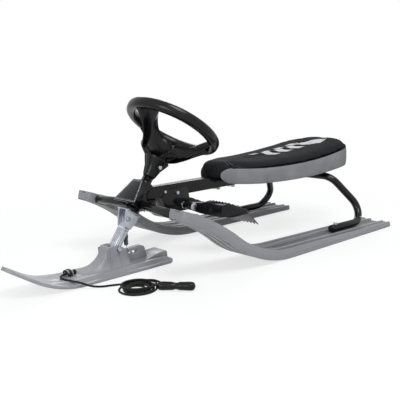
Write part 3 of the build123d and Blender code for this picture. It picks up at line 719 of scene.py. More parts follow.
LUG_X, LUG_Z = 988.0, 24.0
COIL_X, COIL_Y = 902.0, 158.0
COIL_R = 44.0
ROPE_R = 2.5
ROPE_ROUTE = [
    (LUG_X - 9, 0, LUG_Z), (LUG_X + 20, 0, LUG_Z), (LUG_X + 32, 22, 23), (LUG_X + 16, 46, 19),
    (LUG_X - 1, 62, 13.5), (LUG_X - 14, 73, 6), (LUG_X - 34, 86, ROPE_R), (LUG_X - 60, 96, ROPE_R),
]
# The coil: turns so far, size, how far squeezed across, middle's offset ahead and left, and height
COIL_TURNS = (
    (0.0, 49.0, 0.96, 0.0, -1.0, 2.5), (1.0, 41.0, 0.98, 2.0, 0.5, 2.5), (2.0, 32.0, 1.00, -1.0, 2.0, 2.5),
    (3.0, 22.5, 1.04, 2.0, 0.0, 2.5), (3.5, 15.5, 1.00, 1.0, 0.0, 2.6), (4.0, 19.0, 1.00, 0.0, 1.0, 7.8),
    (5.0, 30.0, 0.97, -4.0, 2.5, 7.7), (6.2, 42.5, 0.93, -5.0, -2.0, 7.8), (6.4, 42.0, 0.94, -4.0, -1.0, 11.6),
    (6.6, 38.0, 0.96, 0.0, -3.0, 12.9), (7.21, 36.0, 0.92, 2.0, 1.0, 13.2),
)
POINTS_PER_TURN = 14
ROPE_END = [
    (859, 161, 13.6), (852.5, 174, 10.6), (846, 187, 5.6), (839.5, 198.5, 3.6), (833.5, 206.5, 3.6), (834.5, 216, 6),
    (841.7, 222.3, 9), (845.5, 225.6, 10),
]
GRIP_DIR = np.array([-0.66, 0.75, 0.0]) / np.hypot(0.66, 0.75)
GRIP_L, GRIP_Z = 88.0, 10.0
GRIP_START = np.array([COIL_X, COIL_Y, 9.0]) + GRIP_DIR * (COIL_R + 0.2)


def coil_points():
    """The loose turns' points, clockwise from above: a size, centre and height that drift from each turn's
    to the next, so that no two turns are alike, and each layer lies on the one below."""
    turns = np.array(COIL_TURNS)
    share = np.arange(round(turns[-1, 0] * POINTS_PER_TURN) + 1) / POINTS_PER_TURN
    size, squeeze, dx, dy, z = (np.interp(share, turns[:, 0], column) for column in turns[:, 1:].T)
    angle = -pi / 2 - share * 2 * pi
    return np.c_[COIL_X + dx + size * np.cos(angle), COIL_Y + dy + size * squeeze * np.sin(angle), z]


def nurbs_line(route):
    """Points along the route's smooth line, as Blender gives them for a curve with no bevel."""
    curve = bpy.data.curves.new("route", "CURVE")
    curve.dimensions = "3D"
    curve.resolution_u = 10
    spline = curve.splines.new("NURBS")
    spline.points.add(len(route) - 1)
    spline.points.foreach_set("co", np.c_[route, np.ones(len(route))].ravel())
    spline.order_u = 3
    spline.use_endpoint_u = True
    holder = linked("route", curve)
    line = coordinates(evaluated_mesh(holder))
    bpy.data.objects.remove(holder)
    return line


class SLED_OT_tow_rope(bpy.types.Operator):
    """Makes the tow rope, its loose coil, its knot and its two-lobed handle"""

    bl_idname = "sled.tow_rope"
    bl_label = "Tow rope"

    def execute(self, context):
        radius = context.scene.sled_sizes.rope / 2
        coil = coil_points()
        route = np.array(ROPE_ROUTE + coil.tolist() + ROPE_END)
        line = nurbs_line(at_points(route))
        rope = pipe("rope", line, radius, sides=10)
        handle = self.handle()
        place(handle, "frame", FINISHES["black"], ["rope_handle"])
        knot = self.knot(radius)
        place(knot, "steering", FINISHES["rope"], ["rope_knot"])
        rope.data.materials.append(FINISHES["rope"])
        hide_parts("rope_tow", "rope_coil")
        tuple(at(*ROPE_ROUTE[3]))
        tuple(at(*ROPE_ROUTE[-1]))
        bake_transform(rope)
        return {"FINISHED"}

    def handle(self):
        """The grip: one bar whose section, round at both ends, narrows a little in the middle, where the
        rope goes in, with shallow finger places along both lobes."""
        t = np.linspace(0, 1, 80)
        lobes = 10.6 - 2.6 * np.exp(-((t - 0.5) / 0.075) ** 2) + 0.5 * np.cos((t - 0.5) * 6 * pi) * np.abs(t - 0.5) * 2
        ends = np.sqrt(np.clip(1 - (np.clip(np.abs(t - 0.5) * 2 - 0.82, 0, 1) / 0.18) ** 2, 0.012, 1))
        radius = lobes * ends
        middle = GRIP_START + t[:, None] * GRIP_L * GRIP_DIR
        middle[:, 2] = GRIP_Z
        turn = full_turn(28)[:, None]
        section = np.cos(turn) * np.cross(GRIP_DIR, (0, 0, 1.0)) + squared(np.sin(turn), 0.8) * np.array([0, 0, 0.9])
        return skin("handle", at_points(middle[:, None] + radius[:, None, None] * section))

    def knot(self, radius):
        """Three loops of rope through and round the eye, and a stopper knot behind it."""
        loops = []
        for tilt, reach, shift in ((0.15, 8.6, -3.0), (-0.35, 9.4, 1.6), (0.5, 8.0, 5.0)):
            turn = full_turn(40)
            path = at(LUG_X + shift + reach * 0.55 * np.sin(turn) * sin(tilt), reach * 1.45 * np.cos(turn),
                      LUG_Z - 1 + reach * np.sin(turn))
            _, side, rise = square_to(np.roll(path, -1, 0) - np.roll(path, 1, 0), (1.0, 0, 0))
            loops.append(skin("loop", path[:, None] + radius * 0.9 * circle(10, side, rise), wrap_rows=True))
        t = np.linspace(0, 6 * pi, 120)
        path = at(LUG_X - 15 + 3.2 * np.sin(t / 3 + 0.5), 4.0 * np.cos(t), LUG_Z + 4.0 * np.sin(t * 0.98))
        loops.append(pipe("stopper", path, radius * 0.9, up=(1, 0, 0.2), sides=10))
        return joined("rope_loops", loops)


# Rear skis

SKI_L, SKI_Y, SKI_HALF = 820.0, 199.0, 51.0
SKI_T, SKI_REAR_T = 26.0, 16.0
FLAT_L, BEND_R = 470.0, 330.0
BEND, TIP = radians(38.0), radians(20.0)
TIP_R = (SKI_L - FLAT_L - BEND_R * sin(BEND)) / (sin(BEND) - sin(TIP))

# Half section from the middle of the running surface out, up the side and back over the deck: how far
# out in millimetres, what share of the height, and millimetres added to it
SKI_SECTION = np.array([
    (0, 0, 3.4), (5.6, 0, 3.4), (7, 0, 0), (22, 0, 0), (23.4, 0, 3.4), (34.6, 0, 3.4), (36, 0, 0), (48.6, 0, 0),
    (50.3, 0, 0.7), (51, 0, 2.4), (51, 0.6, -1), (51, 0.62, 0), (49.8, 0.66, 0.3), (49.6, 1, -2.6), (48.8, 1, -0.8),
    (47, 1, 0), (44, 1, 0), (42.6, 1, -2.4), (26.5, 1, -2.4), (25.2, 1, 0), (19.6, 1, 0), (18.2, 1, -5.6), (0, 1, -5.8),
])


# Thin dark strips of painted shade in the recesses of the deck and in the grooves below: from where to where
# across the ski, at what share of its height, and millimetres added to that
DECK_SHADE_STRIPS = ((27.0, 42.2, 1, -2.55), (-42.2, -27.0, 1, -2.55), (0.0, 18.0, 1, -5.95), (-18.0, 0.0, 1, -5.95),
               (23.8, 34.2, 0, 3.2), (-34.2, -23.8, 0, 3.2), (-5.4, 5.4, 0, 3.2))


def ski_half_width(x):
    """Half the width of a rear ski: straight, then an arc inwards, then a round nose."""
    taper = np.interp(x, (560, 600, 650, 690, 730, 770, 790), (51, 50.3, 47.9, 44.9, 40.6, 34.6, 30.0))
    nose = np.sqrt(np.clip(31.04 ** 2 - (x - 797.96) ** 2, 4.0, None))
    return np.where(x > 790, nose, taper)


def rear_ski_grid(side, section, trimmed=True):
    """Rows along the running surface, which is a straight, an arc upwards and an arc back to a gentler
    slope; each row is the section set up square to it and squeezed to the half width there."""
    flat = np.linspace(0, FLAT_L, 30)[:-1]
    flat = np.r_[0.0, 1.2, 3.0, flat[1:]]
    up = np.linspace(0, BEND, 22)[:-1]
    over = np.r_[np.linspace(BEND, TIP, 26)[:-1], TIP + radians(0.35), TIP + radians(0.12), TIP]
    mid = np.array([FLAT_L + (BEND_R + TIP_R) * sin(BEND), BEND_R - (BEND_R + TIP_R) * cos(BEND)])
    x = np.r_[flat, FLAT_L + BEND_R * np.sin(up), mid[0] - TIP_R * np.sin(over)]
    z = np.r_[0 * flat, BEND_R - BEND_R * np.cos(up), mid[1] + TIP_R * np.cos(over)]
    angle = np.r_[0 * flat, up, over]
    height = np.interp(x, (0, FLAT_L), (SKI_REAR_T, SKI_T))
    trim = np.ones(len(x))
    if trimmed:
        trim[:3] = (0.93, 0.975, 0.992)
        trim[-3:] = (0.992, 0.975, 0.93)
    rise = section[None, :, 1] * height[:, None] + section[None, :, 2]
    rise = height[:, None] / 2 + (rise - height[:, None] / 2) * trim[:, None]
    px = x[:, None] - np.sin(angle)[:, None] * rise
    pz = z[:, None] + np.cos(angle)[:, None] * rise
    half = ski_half_width(np.minimum(px, SKI_L)) / SKI_HALF * trim[:, None]
    py = side * (SKI_Y - section[None, :, 0] * half)
    return at(px, py, pz)


class SLED_OT_rear_skis(bpy.types.Operator):
    """Makes the two grooved and ribbed rear skis, with dark strips of painted shade in their recesses"""

    bl_idname = "sled.rear_skis"
    bl_label = "Rear skis"

    def execute(self, context):
        for side, name in ((1, "left"), (-1, "right")):
            ski = skin(f"rear_ski_{name}", rear_ski_grid(side, mirrored(SKI_SECTION)), sharp=60)
            bevelled(ski, 0.7, 38)
            place(ski, "frame", FINISHES["rear_ski"], [f"ski_rear_{name}"])
            # thin dark strips of painted shade, laid in the deck's recesses and in the grooves underneath
            strips = []
            for low, high, share, sink in DECK_SHADE_STRIPS:
                section = np.array([(low, share, sink), (high, share, sink), (high, share, sink + 0.35),
                                    (low, share, sink + 0.35)])
                strips.append(skin("strip", rear_ski_grid(side, section, False)[2:-4], sharp=40))
            place(joined(f"rear_ski_deck_{name}", strips), "frame", FINISHES["ski_deck"])
        return {"FINISHED"}


# Front ski

FRONT_X0, FRONT_X1 = 703.0, 1150.0
FRONT_BEND_X, FRONT_BEND_R, FRONT_BEND = 972.0, 240.0, radians(32.0)
FRONT_HALF = 55.0

# Half section of the front ski: how far out, millimetres up from the running surface, and how far each
# point rises with the deck
FRONT_SECTION = np.array([
    (0, 0, 0), (6, 0, 0), (7.5, 2.2, 0), (14, 2.2, 0), (15.5, 0, 0), (34, 0, 0), (35.5, 2.2, 0), (42, 2.2, 0),
    (43.5, 0, 0), (52.5, 0, 0), (54.5, 0.8, 0), (55, 2.5, 0), (55, 5.8, 0), (54.3, 7.4, 0), (52.5, 8, 0),
    (48.5, 8, 0), (47.2, 8.6, 0.05), (40.5, 8, 0.88), (38.5, 8, 0.99), (36, 8, 1), (31, 8, 1), (30, 8, 0.9),
    (20, 8, 0.9), (19, 8, 1), (0, 8, 1),
])


def front_ski_grid():
    """Rows along the running surface, a straight, an arc upwards and a straight to the tip; the deck
    stands 9 mm above the blade and sinks into it before the tip."""
    turn = np.linspace(0, FRONT_BEND, 24)
    reach = (FRONT_X1 - FRONT_BEND_X - FRONT_BEND_R * sin(FRONT_BEND)) / cos(FRONT_BEND)
    on = np.r_[np.linspace(0, 0.985, 22)[1:], 0.993, 1.0] * reach
    flat = np.r_[0, 1.5, 4, 9, 16, np.linspace(24, FRONT_BEND_X - FRONT_X0, 26)][:-1]
    x = np.r_[FRONT_X0 + flat, FRONT_BEND_X + FRONT_BEND_R * np.sin(turn),
              FRONT_BEND_X + FRONT_BEND_R * sin(FRONT_BEND) + on * cos(FRONT_BEND)]
    z = np.r_[0 * flat, FRONT_BEND_R * (1 - np.cos(turn)), FRONT_BEND_R * (1 - cos(FRONT_BEND)) + on * sin(FRONT_BEND)]
    angle = np.r_[0 * flat, turn, 0 * on + FRONT_BEND]
    deck = np.interp(x, (FRONT_X0, FRONT_X0 + 8, 716, 990, 1030, 1065, 1150), (1, 3, 9, 9, 6.5, 1.2, 0.0))
    side = np.interp(x, (FRONT_X0, FRONT_X0 + 4, FRONT_X0 + 16, 1040, 1080, 1105, 1125, 1140, 1147, 1150),
                     (42, 47, 55, 55, 49.5, 42.5, 32.5, 20.5, 12, 5)) / FRONT_HALF
    section = mirrored(FRONT_SECTION)
    rise = section[None, :, 1] + section[None, :, 2] * deck[:, None]
    px = x[:, None] - np.sin(angle)[:, None] * rise
    pz = z[:, None] + np.cos(angle)[:, None] * rise
    py = section[None, :, 0] * side[:, None]
    return at(px, py, np.maximum(pz, 0))


PEDESTAL_Z = (15, 18, 22, 27, 34, 45, 68, 69.3)
PEDESTAL_HALF = (37, 31, 26.5, 23.5, 21.6, 20.4, 19.4, 18.4)


def pedestal_grid():
    """Rows one above another, each a rounded oblong: its front and rear ends follow the side outline, a
    concave ramp in front, and its half width flares out towards the deck."""
    z = np.r_[15.5, 18, 20.5, 23.5, 27, 31, 36, 42, 48, 54, 60, 65, 67.5, 68.8, 69.3]
    front = np.interp(z, (15, 18, 22, 27, 33, 40, 47, 54, 69, 70), (968, 960, 941, 922, 910, 901, 895.5, 892, 886, 884))
    rear = np.interp(z, (15, 62, 70), (816, 838, 862))
    half = np.interp(z, PEDESTAL_Z, PEDESTAL_HALF)
    turn = full_turn(72)
    oblong_x, oblong_y = squared(np.cos(turn), 0.34), squared(np.sin(turn), 0.34)
    trim = np.interp(z, (66, 68.8, 69.3), (0, 0.8, 2.4))
    x = (front + rear)[:, None] / 2 + ((front - rear)[:, None] / 2 - trim[:, None]) * oblong_x
    # the sides draw in towards the front end of the ramp
    ramp = np.clip((x - 900) / 66, 0, 1)
    y = half[:, None] * oblong_y * (1 - 0.35 * ramp)
    return at(x, y, z[:, None])


def rounded_outline(corners, radii):
    """A closed outline with its corners rounded by those radii."""
    corners = np.asarray(corners, float)
    looped = np.concatenate([corners[-1:], corners, corners[:1]])
    points = []
    for before, here, after, radius in zip(looped, looped[1:], looped[2:], radii):
        if radius <= 0:
            points.append(here[None])
            continue
        points.append(rounded_path([before, here, after], [radius], 1.5)[1:-1])
    return np.concatenate(points)


def box_cutter(low, high):
    """A closed box to cut with."""
    (x0, y0, z0), (x1, y1, z1) = low, high
    ring = np.array([(x0, y0), (x1, y0), (x1, y1), (x0, y1)])
    grid = np.stack([np.c_[ring, [z0] * 4], np.c_[ring, [z1] * 4]])
    return skin("cutter", at_points(grid))


def cut(obj, cutter):
    """Takes a closed shape out of a piece."""
    boolean = obj.modifiers.new("cut", "BOOLEAN")
    boolean.operation = "DIFFERENCE"
    boolean.solver = "EXACT"
    boolean.object = cutter
    bake(obj)
    bpy.data.objects.remove(cutter)
    return obj


class SLED_OT_front_ski(bpy.types.Operator):
    """Makes the front ski, its pedestal, fin, rear lip and rope eye"""

    bl_idname = "sled.front_ski"
    bl_label = "Front ski"

    def execute(self, context):
        blade = edge_round(skin("front_ski", front_ski_grid(), sharp=60), 0.6)
        pedestal = skin("front_ski_pedestal", pedestal_grid())
        cut(pedestal, box_cutter((800, -15.2, 23), (881, 15.2, 90)))
        edge_round(pedestal, 1.2)
        ribs = []
        z = np.linspace(16, 65, 18)
        for side in (1, -1):
            wall = np.interp(z, PEDESTAL_Z, PEDESTAL_HALF)
            outline = np.concatenate([np.c_[side * (wall + 1.8), z], np.c_[side * (wall - 3), z][::-1]])
            for x in (887.0, 879.0, 852.0):
                ribs.append(plate("rib", [outline], 3.4, at(x, 0, 0), (0, 1, 0), (0, 0, 1), 0.7))
        ribs = joined("front_ski_ribs", ribs)
        fin = plate(
            "front_ski_fin",
            [rounded_outline([(836, 12), (836, 49.5), (779, 53), (766, 47), (757, 12)], (0, 3, 7, 7, 0)),
             rounded_outline([(790, 33.5), (816, 35), (816, 43.5), (790, 42)], (4, 4, 4, 4))],
            12.0, at(0, 0, 0), (1, 0, 0), (0, 0, 1), 1.2)
        lip = plate(
            "front_ski_lip",
            [rounded_outline([(706, 7), (708, 27.6), (742, 26), (782, 14)], (0, 4, 14, 0))],
            54.0, at(0, 0, 0), (1, 0, 0), (0, 0, 1), 2.5)
        eye = plate(
            "front_ski_eye",
            [rounded_outline([(-14, 13), (-11, 33), (11, 33), (14, 13)], (0, 9, 9, 0)),
             rounded_outline([(-4, 20), (4, 20), (4, 28), (-4, 28)], (3.9, 3.9, 3.9, 3.9))],
            15.0, at(987, 0, 0), (0, 1, 0), (0, 0, 1), 1.5)
        place(blade, "steering", FINISHES["front_ski"], ["ski_front"])
        for piece in (pedestal, ribs, fin, lip, eye):
            place(piece, "steering", FINISHES["front_ski"])
        return {"FINISHED"}


# Steering wheel

# Degrees round the steering axis from its forward side
SPOKES = (12.0, 138.0, -104.0)


def through(first, middle, last, count):
    """Points on the arc through three points, in a plane."""
    (ax, ay), (bx, by), (cx, cy) = first, middle, last
    d = 2 * (ax * (by - cy) + bx * (cy - ay) + cx * (ay - by))
    a2, b2, c2 = ax * ax + ay * ay, bx * bx + by * by, cx * cx + cy * cy
    ux = (a2 * (by - cy) + b2 * (cy - ay) + c2 * (ay - by)) / d
    uy = (a2 * (cx - bx) + b2 * (ax - cx) + c2 * (bx - ax)) / d
    start, end = np.arctan2(ay - uy, ax - ux), np.arctan2(cy - uy, cx - ux)
    end = start + (end - start + pi) % (2 * pi) - pi
    angle = np.linspace(start, end, count)
    return np.c_[ux + np.hypot(ax - ux, ay - uy) * np.cos(angle), uy + np.hypot(ax - ux, ay - uy) * np.sin(angle)]


RIM_SECTION = np.array([
    (130.6, -3.0), (131.0, 2), (130.4, 6.0), (128.6, 9.4), (125.4, 11.7), (121.0, 12.6), (116.5, 12.2), (112.0, 10.6),
    (108.4, 8.0), (106.0, 4.6), (104.8, 0.5), (104.8, -4.0), (105.6, -8.4), (107.6, -11.8), (110.6, -13.8),
    (114.0, -14.4), (121.0, -14.4), (124.8, -13.4), (128.0, -10.8), (130.0, -7.0),
])

# Half section of a spoke: share of its half width, and share of the way from its top to its underside
SPOKE_SECTION = np.array([
    (0, 0.02), (0.6, 0.0), (0.86, 0.02), (0.97, 0.10), (1.0, 0.24), (1.0, 0.9), (0.98, 0.98), (0.90, 1.0),
    (0.80, 0.98), (0.77, 0.9), (0.76, 0.36), (0.70, 0.27), (0.5, 0.25), (0, 0.25),
])


# Heights of the spokes' upper and under side by the distance from the axis, both along it
SPOKE_TOP = ((0, -95), (25, -88), (40, -74), (60, -48), (80, -20), (95, -6), (112, 5))
SPOKE_FOOT = ((0, -112), (30, -102), (50, -84), (74, -60), (95, -36), (116, -12))
SPOKE_HALF = ((2, 20), (15, 40), (25, 48), (34, 46), (42, 39), (50, 30), (60, 23), (70, 18.5), (82, 18), (94, 23),
              (104, 31), (113, 40))


def turned(r, b, s, angle):
    """Points r out along a direction at that many degrees round the steering axis, b beside it, s along."""
    c, d = cos(radians(angle)), sin(radians(angle))
    return across_axis(r * c - b * d, r * d + b * c, s)


def eased(points, width=18):
    """A curve through those points, its corners eased by a moving average of its straight runs."""
    x, y = np.array(points, float).T
    fine = np.linspace(x[0], x[-1], 200)
    line = np.interp(fine, x, y)
    padded = np.concatenate([2 * line[0] - line[width:0:-1], line, 2 * line[-1] - line[-2:-width - 2:-1]])
    return fine, np.convolve(padded, np.ones(2 * width + 1) / (2 * width + 1), "valid")


def spoke_grid(angle):
    """Rows from the rim in to the hub; each row is an inverted channel whose half width is least half way
    and flares towards rim and hub. Its height depends only on the distance from the axis, so that the
    three flared spokes run into one funnel."""
    upper, lower, widths = eased(SPOKE_TOP), eased(SPOKE_FOOT), eased(SPOKE_HALF, 8)
    r = np.r_[np.linspace(113, 60, 24), np.linspace(58, 2, 30)][:, None]
    half = np.interp(r, *widths)
    section = mirrored(SPOKE_SECTION)
    b = section[None, :, 0] * half
    reach = np.hypot(r, b * np.interp(r, (60, 95), (1.0, 0.2)))
    mix = section[None, :, 1]
    s = np.interp(reach, *upper) * (1 - mix) + np.interp(reach, *lower) * mix
    s = s - 2.0 * (1 - section[None, :, 0] ** 2) * (section[None, :, 1] < 0.05) * np.clip(r / 60, 0, 1)
    return turned(r, b, s, angle)


class SLED_OT_wheel(bpy.types.Operator):
    """Makes the steering wheel: rim, three dished spokes, hub and socket"""

    bl_idname = "sled.wheel"
    bl_label = "Steering wheel"

    def execute(self, context):
        rim = skin("wheel_rim", round_axis(RIM_SECTION[None, :, 0], full_turn(144)[:, None], RIM_SECTION[None, :, 1]),
                   wrap_rows=True)
        spokes = joined("wheel_spokes", [skin("spoke", spoke_grid(angle), sharp=40) for angle in SPOKES])
        socket_profile = [
            (-98, 0), (-98, 30), (-98.6, 33), (-103, 31.4), (-109, 28.4), (-116, 24.6), (-124, 21.0), (-132, 18.3),
            (-140, 16.6), (-148, 15.8), (-149, 15.2), (-149, 14.2), (-112, 14.2), (-112, 0),
        ]
        hub = spun("wheel_hub", socket_profile, AXIS_ORIGIN * MM, AXIS_Z, sides=64)
        s, out = np.array([(-96.0, 33.0), (-99, 35), (-109, 30.4), (-124, 22.6), (-146, 16.8)]).T
        b = np.array([-1.6, 1.6, 1.6, -1.6])
        r = np.where([False, False, True, True], out[:, None], 15.0)
        ribs = [skin("rib", turned(r, b, s[:, None], turn)) for turn in np.arange(8) * 45.0 + 16.0]
        ribs = edge_round(joined("wheel_ribs", ribs), 0.6)
        place(rim, "steering", FINISHES["black"], ["wheel"])
        for piece in (spokes, hub, ribs):
            place(piece, "steering", FINISHES["black"])
        return {"FINISHED"}


# Steel frame

HOOP = [(236, 199, 27), (36, 199, 24), (140, 128, 162), (140, -128, 162), (36, -199, 24), (236, -199, 27)]
HOOP_RADII = (46, 42, 42, 46)


def frame_tube(name, corners, radii, body_radius, up=(0, 0, 1)):
    """A frame tube along runs and arcs, its open ends rolled in."""
    path = rounded_path(corners, radii)
    ends = np.r_[0.86, 0.95, 1.0, np.ones(len(path) - 2), 1.0, 0.95, 0.86]
    first, last = path[1] - path[0], path[-1] - path[-2]
    first, last = first / np.linalg.norm(first), last / np.linalg.norm(last)
    path = np.concatenate([path[:1], path[:1] + first * 0.6, path[:1] + first * 1.6, path[1:-1],
                           path[-1:] - last * 1.6, path[-1:] - last * 0.6, path[-1:]])
    return pipe(name, at_points(path), body_radius * ends, up=up, sides=32)


class SLED_OT_steel_frame(bpy.types.Operator):
    """Makes the beam, the rear hoop, the front tubes, the steering head with its cover and the brackets"""

    bl_idname = "sled.steel_frame"
    bl_label = "Steel frame"

    def execute(self, context):
        radius = context.scene.sled_sizes.tube / 2
        hoop = frame_tube("hoop", HOOP, HOOP_RADII, radius, up=(0.35, 0.02, -0.6))
        place(hoop, "frame", FINISHES["frame"], ["hoop_rear"])
        for side, name in ((1, "left"), (-1, "right")):
            cross = frame_tube(f"cross_tube_{name}", [(787, 207 * side, 150), (784, 15 * side, 161.2)], (), radius)
            bent = frame_tube(
                f"bent_tube_{name}", [(760, 207 * side, 147), (744, 14 * side, 138), (744, 14 * side, 166)], (24,),
                radius, up=(1, 0.02, 0.05))
            place(cross, "frame", FINISHES["frame"], [f"tube_cross_{name}"])
            place(bent, "frame", FINISHES["frame"], [f"tube_bent_{name}"])
        for node, edge, finish, slot in (
            ("beam", 0.8, "frame", "frame_black"), ("head_tube", 0.8, "frame", "frame_black"),
            ("seat_bracket_front", 0.6, "frame", "frame_black"), ("seat_bracket_rear", 0.6, "frame", "frame_black"),
            ("brake_bracket", 0.6, "frame", "frame_black"), ("head_cover", 0.9, "black", "black_plastic"),
            ("brake_axle", 0.6, "zinc", "zinc"),
        ):
            place(softened(node + "_shape", node, edge), "frame", FINISHES[finish], [node])
        place(self.cover_trim(), "frame", FINISHES["zinc"])
        place(self.welds(), "frame", FINISHES["frame"])
        return {"FINISHED"}

    def cover_trim(self):
        """Two thin bright frames, one inside the other, on the cover's front face."""
        lines = []
        for inset, radius in ((2.0, 0.45), (4.4, 0.3)):
            corners = []
            for s, side in ((-171, 1), (-236, 1), (-236, -1), (-171, -1), (-171, 1)):
                s = s - inset if s > -200 else s + inset
                share = (s + 170) / -68
                corners.append((25 + 11 * share + 0.1, side * (20 + 26 * share - inset), s))
            for first, last in zip(corners, corners[1:]):
                run = np.linspace(first, last, 8)
                lines.append(pipe("line", across_axis(*run.T), radius * MM, up=AXIS_X, sides=8))
        return joined("cover_trim", lines)

    def welds(self):
        """Weld beads: rings round a joint whose radius ripples like laid coins."""
        beads = []
        for centre, axis, reach in (
            ((784, 17.5, 161), (0, 1, -0.06), 11.6), ((784, -17.5, 161), (0, -1, -0.06), 11.6),
            ((744, 14, 164.5), (0, 0, 1), 11.8), ((744, -14, 164.5), (0, 0, 1), 11.8),
            ((140, 15.5, 162), (0, 1, 0), 11.6), ((140, -15.5, 162), (0, 1, 0), 11.6),
        ):
            axis, first, second = square_to(axis)
            out = circle(120, first, second)
            thick = 1.7 + 0.35 * np.abs(np.sin(full_turn(120) * 12))
            grid = (centre + reach * out)[:, None] + thick[:, None, None] * circle(8, out, axis)
            beads.append(skin("bead", at_points(grid), wrap_rows=True))
        return joined("weld_beads", beads)


# Steering column, fork, leg and damper

class SLED_OT_steering(bpy.types.Operator):
    """Makes the column, the fork bracket, the leg with its flutes and the damper, and gives the damper's hook its
    finish
    """

    bl_idname = "sled.steering"
    bl_label = "Steering column and leg"

    def execute(self, context):
        column = softened("column_shape", "column", 0.8)
        self.shorten(column)
        place(column, "steering", FINISHES["frame"], ["column"])
        for node in ("fork_bracket", "leg"):
            place(softened(node + "_shape", node, 1.0), "steering", FINISHES["zinc"], [node])
        hook = frame["nodes"]["damper_hook"].data
        hook.materials.clear()
        hook.materials.append(FINISHES["zinc"])
        place(self.flutes(), "steering", FINISHES["zinc"])
        damper = self.damper()
        place(damper, "steering", FINISHES["rubber"], ["damper"])
        return {"FINISHED"}

    def flutes(self):
        """Raised beads pressed along the leg, three in front and two on each side."""
        beads = []
        s = np.linspace(-295, -346, 16)
        reach = 0.0019 * np.sqrt(np.clip(1 - np.abs(np.linspace(-1, 1, 16)) ** 8, 0.05, 1))
        for x, y in ((9.2, -7.5), (9.2, 0), (9.2, 7.5), (4.0, 13.6), (-3.5, 13.6), (4.0, -13.6), (-3.5, -13.6)):
            beads.append(pipe("bead", across_axis(x + 0 * s, y + 0 * s, s), reach, up=(0, 1, 0), sides=14))
        return joined("leg_flutes", beads)

    def shorten(self, column):
        """Brings the column's top down to where the wheel's socket hides it."""
        points = coordinates(column.data)
        over = np.maximum((points - AXIS_ORIGIN * MM) @ AXIS_Z - (-0.108), 0)
        column.data.vertices.foreach_set("co", (points - over[:, None] * AXIS_Z).ravel())

    def damper(self):
        """The rubber sleeve: a turned shape with a swollen middle between two waists."""
        top = across_axis(-5.0, 0.0, -298.0)
        foot = at(818, 0, 60)
        run = float(np.linalg.norm(foot - top)) / MM
        profile = [(-7.5, 0), (-7.5, 4.5), (-6, 7.2), (0, 8.2), (6, 7.4), (9, 6.2), (14, 6.6), (18, 7.3), (22, 6.6),
                   (25, 5.6), (run - 5, 5.2), (run - 2, 5.6), (run, 4.6), (run + 0.4, 0)]
        return spun("damper_sleeve", profile, top, foot - top, sides=32)


# Brakes

def domes(name, centres, normal, radius, height):
    """Many low round dots: one dome of rings set at each centre, square to a plane."""
    normal, side, other = square_to(normal, (0, 1.0, 0))
    levels = np.array([(1.0, -0.4), (1.0, 0.35), (0.8, 0.8), (0.4, 1.0)])[..., None, None]
    dome = (levels[:, 0] * radius * circle(10, side, other) + levels[:, 1] * height * normal).reshape(-1, 3)
    faces = []
    for first in range(0, 40 * len(centres), 40):
        faces += (quads(4, 10) + first).tolist()
        faces += [list(range(first, first + 10))[::-1], list(range(first + 30, first + 40))]
    return mesh_object(name, at_points(np.asarray(centres, float)[:, None] + dome), faces, sharp=60)


class SLED_OT_brakes(bpy.types.Operator):
    """Makes the two foot brakes with their treads, toothed plates and return springs"""

    bl_idname = "sled.brakes"
    bl_label = "Foot brakes"

    def execute(self, context):
        dot = context.scene.sled_sizes.dot / 2 / MM
        for side, name in ((1, "left"), (-1, "right")):
            body = f"brake_{name}"
            for kind, edge, finish, slot in (
                ("pedal", 1.0, "black", "black_plastic"), ("claw", 0.5, "claw", "claw_steel"),
            ):
                node = f"{kind}_{name}"
                place(softened(node + "_shape", node, edge), body, FINISHES[finish], [node])
            along = np.linspace(0.08, 0.92, 7)
            across = np.linspace(57, 115, 6)
            x = 572 + (494 - 572) * along[:, None] + 0 * across
            z = 144 + (112 - 144) * along[:, None] + 0 * across
            y = side * (across[None, :] + np.where(np.arange(7) % 2, 4.8, 0)[:, None])
            centres = np.stack([x, np.clip(y, -118.5, 118.5), z], -1).reshape(-1, 3)
            place(domes(f"tread_{name}", centres, (-32, 0, 78), dot, 2.2), body, FINISHES["black"])
            spring = self.spring(f"spring_{name}", side)
            place(spring, "frame", FINISHES["zinc"])
        return {"FINISHED"}

    def spring(self, name, side):
        """A return spring: a helix of wire round the axle."""
        t = np.linspace(0, 1, 120)
        turn = t * 2 * pi * 4.25
        path = at(640 + 8.3 * np.cos(turn), side * (19.6 + 7.2 * t), 138 + 8.3 * np.sin(turn))
        return pipe(name, path, 0.0009, up=(0, 1, 0), sides=8)


# Seat

SEAM = (257.0, 217.5, 236.0)
SKIRT = (200.0, 175.0, 192.0)
CREST = (281.0, 235.0, 250.0)
SEAT_X0, SEAT_X1, NOSE_X = -4.0, 510.0, 530.0
SEAT_REST = 195.0
VOXEL, SWELL_FRAMES, SWELL_CAP = 0.005, 20, 0.006
BAND_ROUND, BAND_END = 488.0, 520.0


def seat_height(heights, x):
    """A height along the seat, on the parabola through its heights at the rear, middle and front."""
    t = (np.asarray(x, float) + 40.0) / 660.0
    first, middle, last = heights
    return first * (1 - t) * (1 - 2 * t) + 4 * middle * t * (1 - t) + last * t * (2 * t - 1)


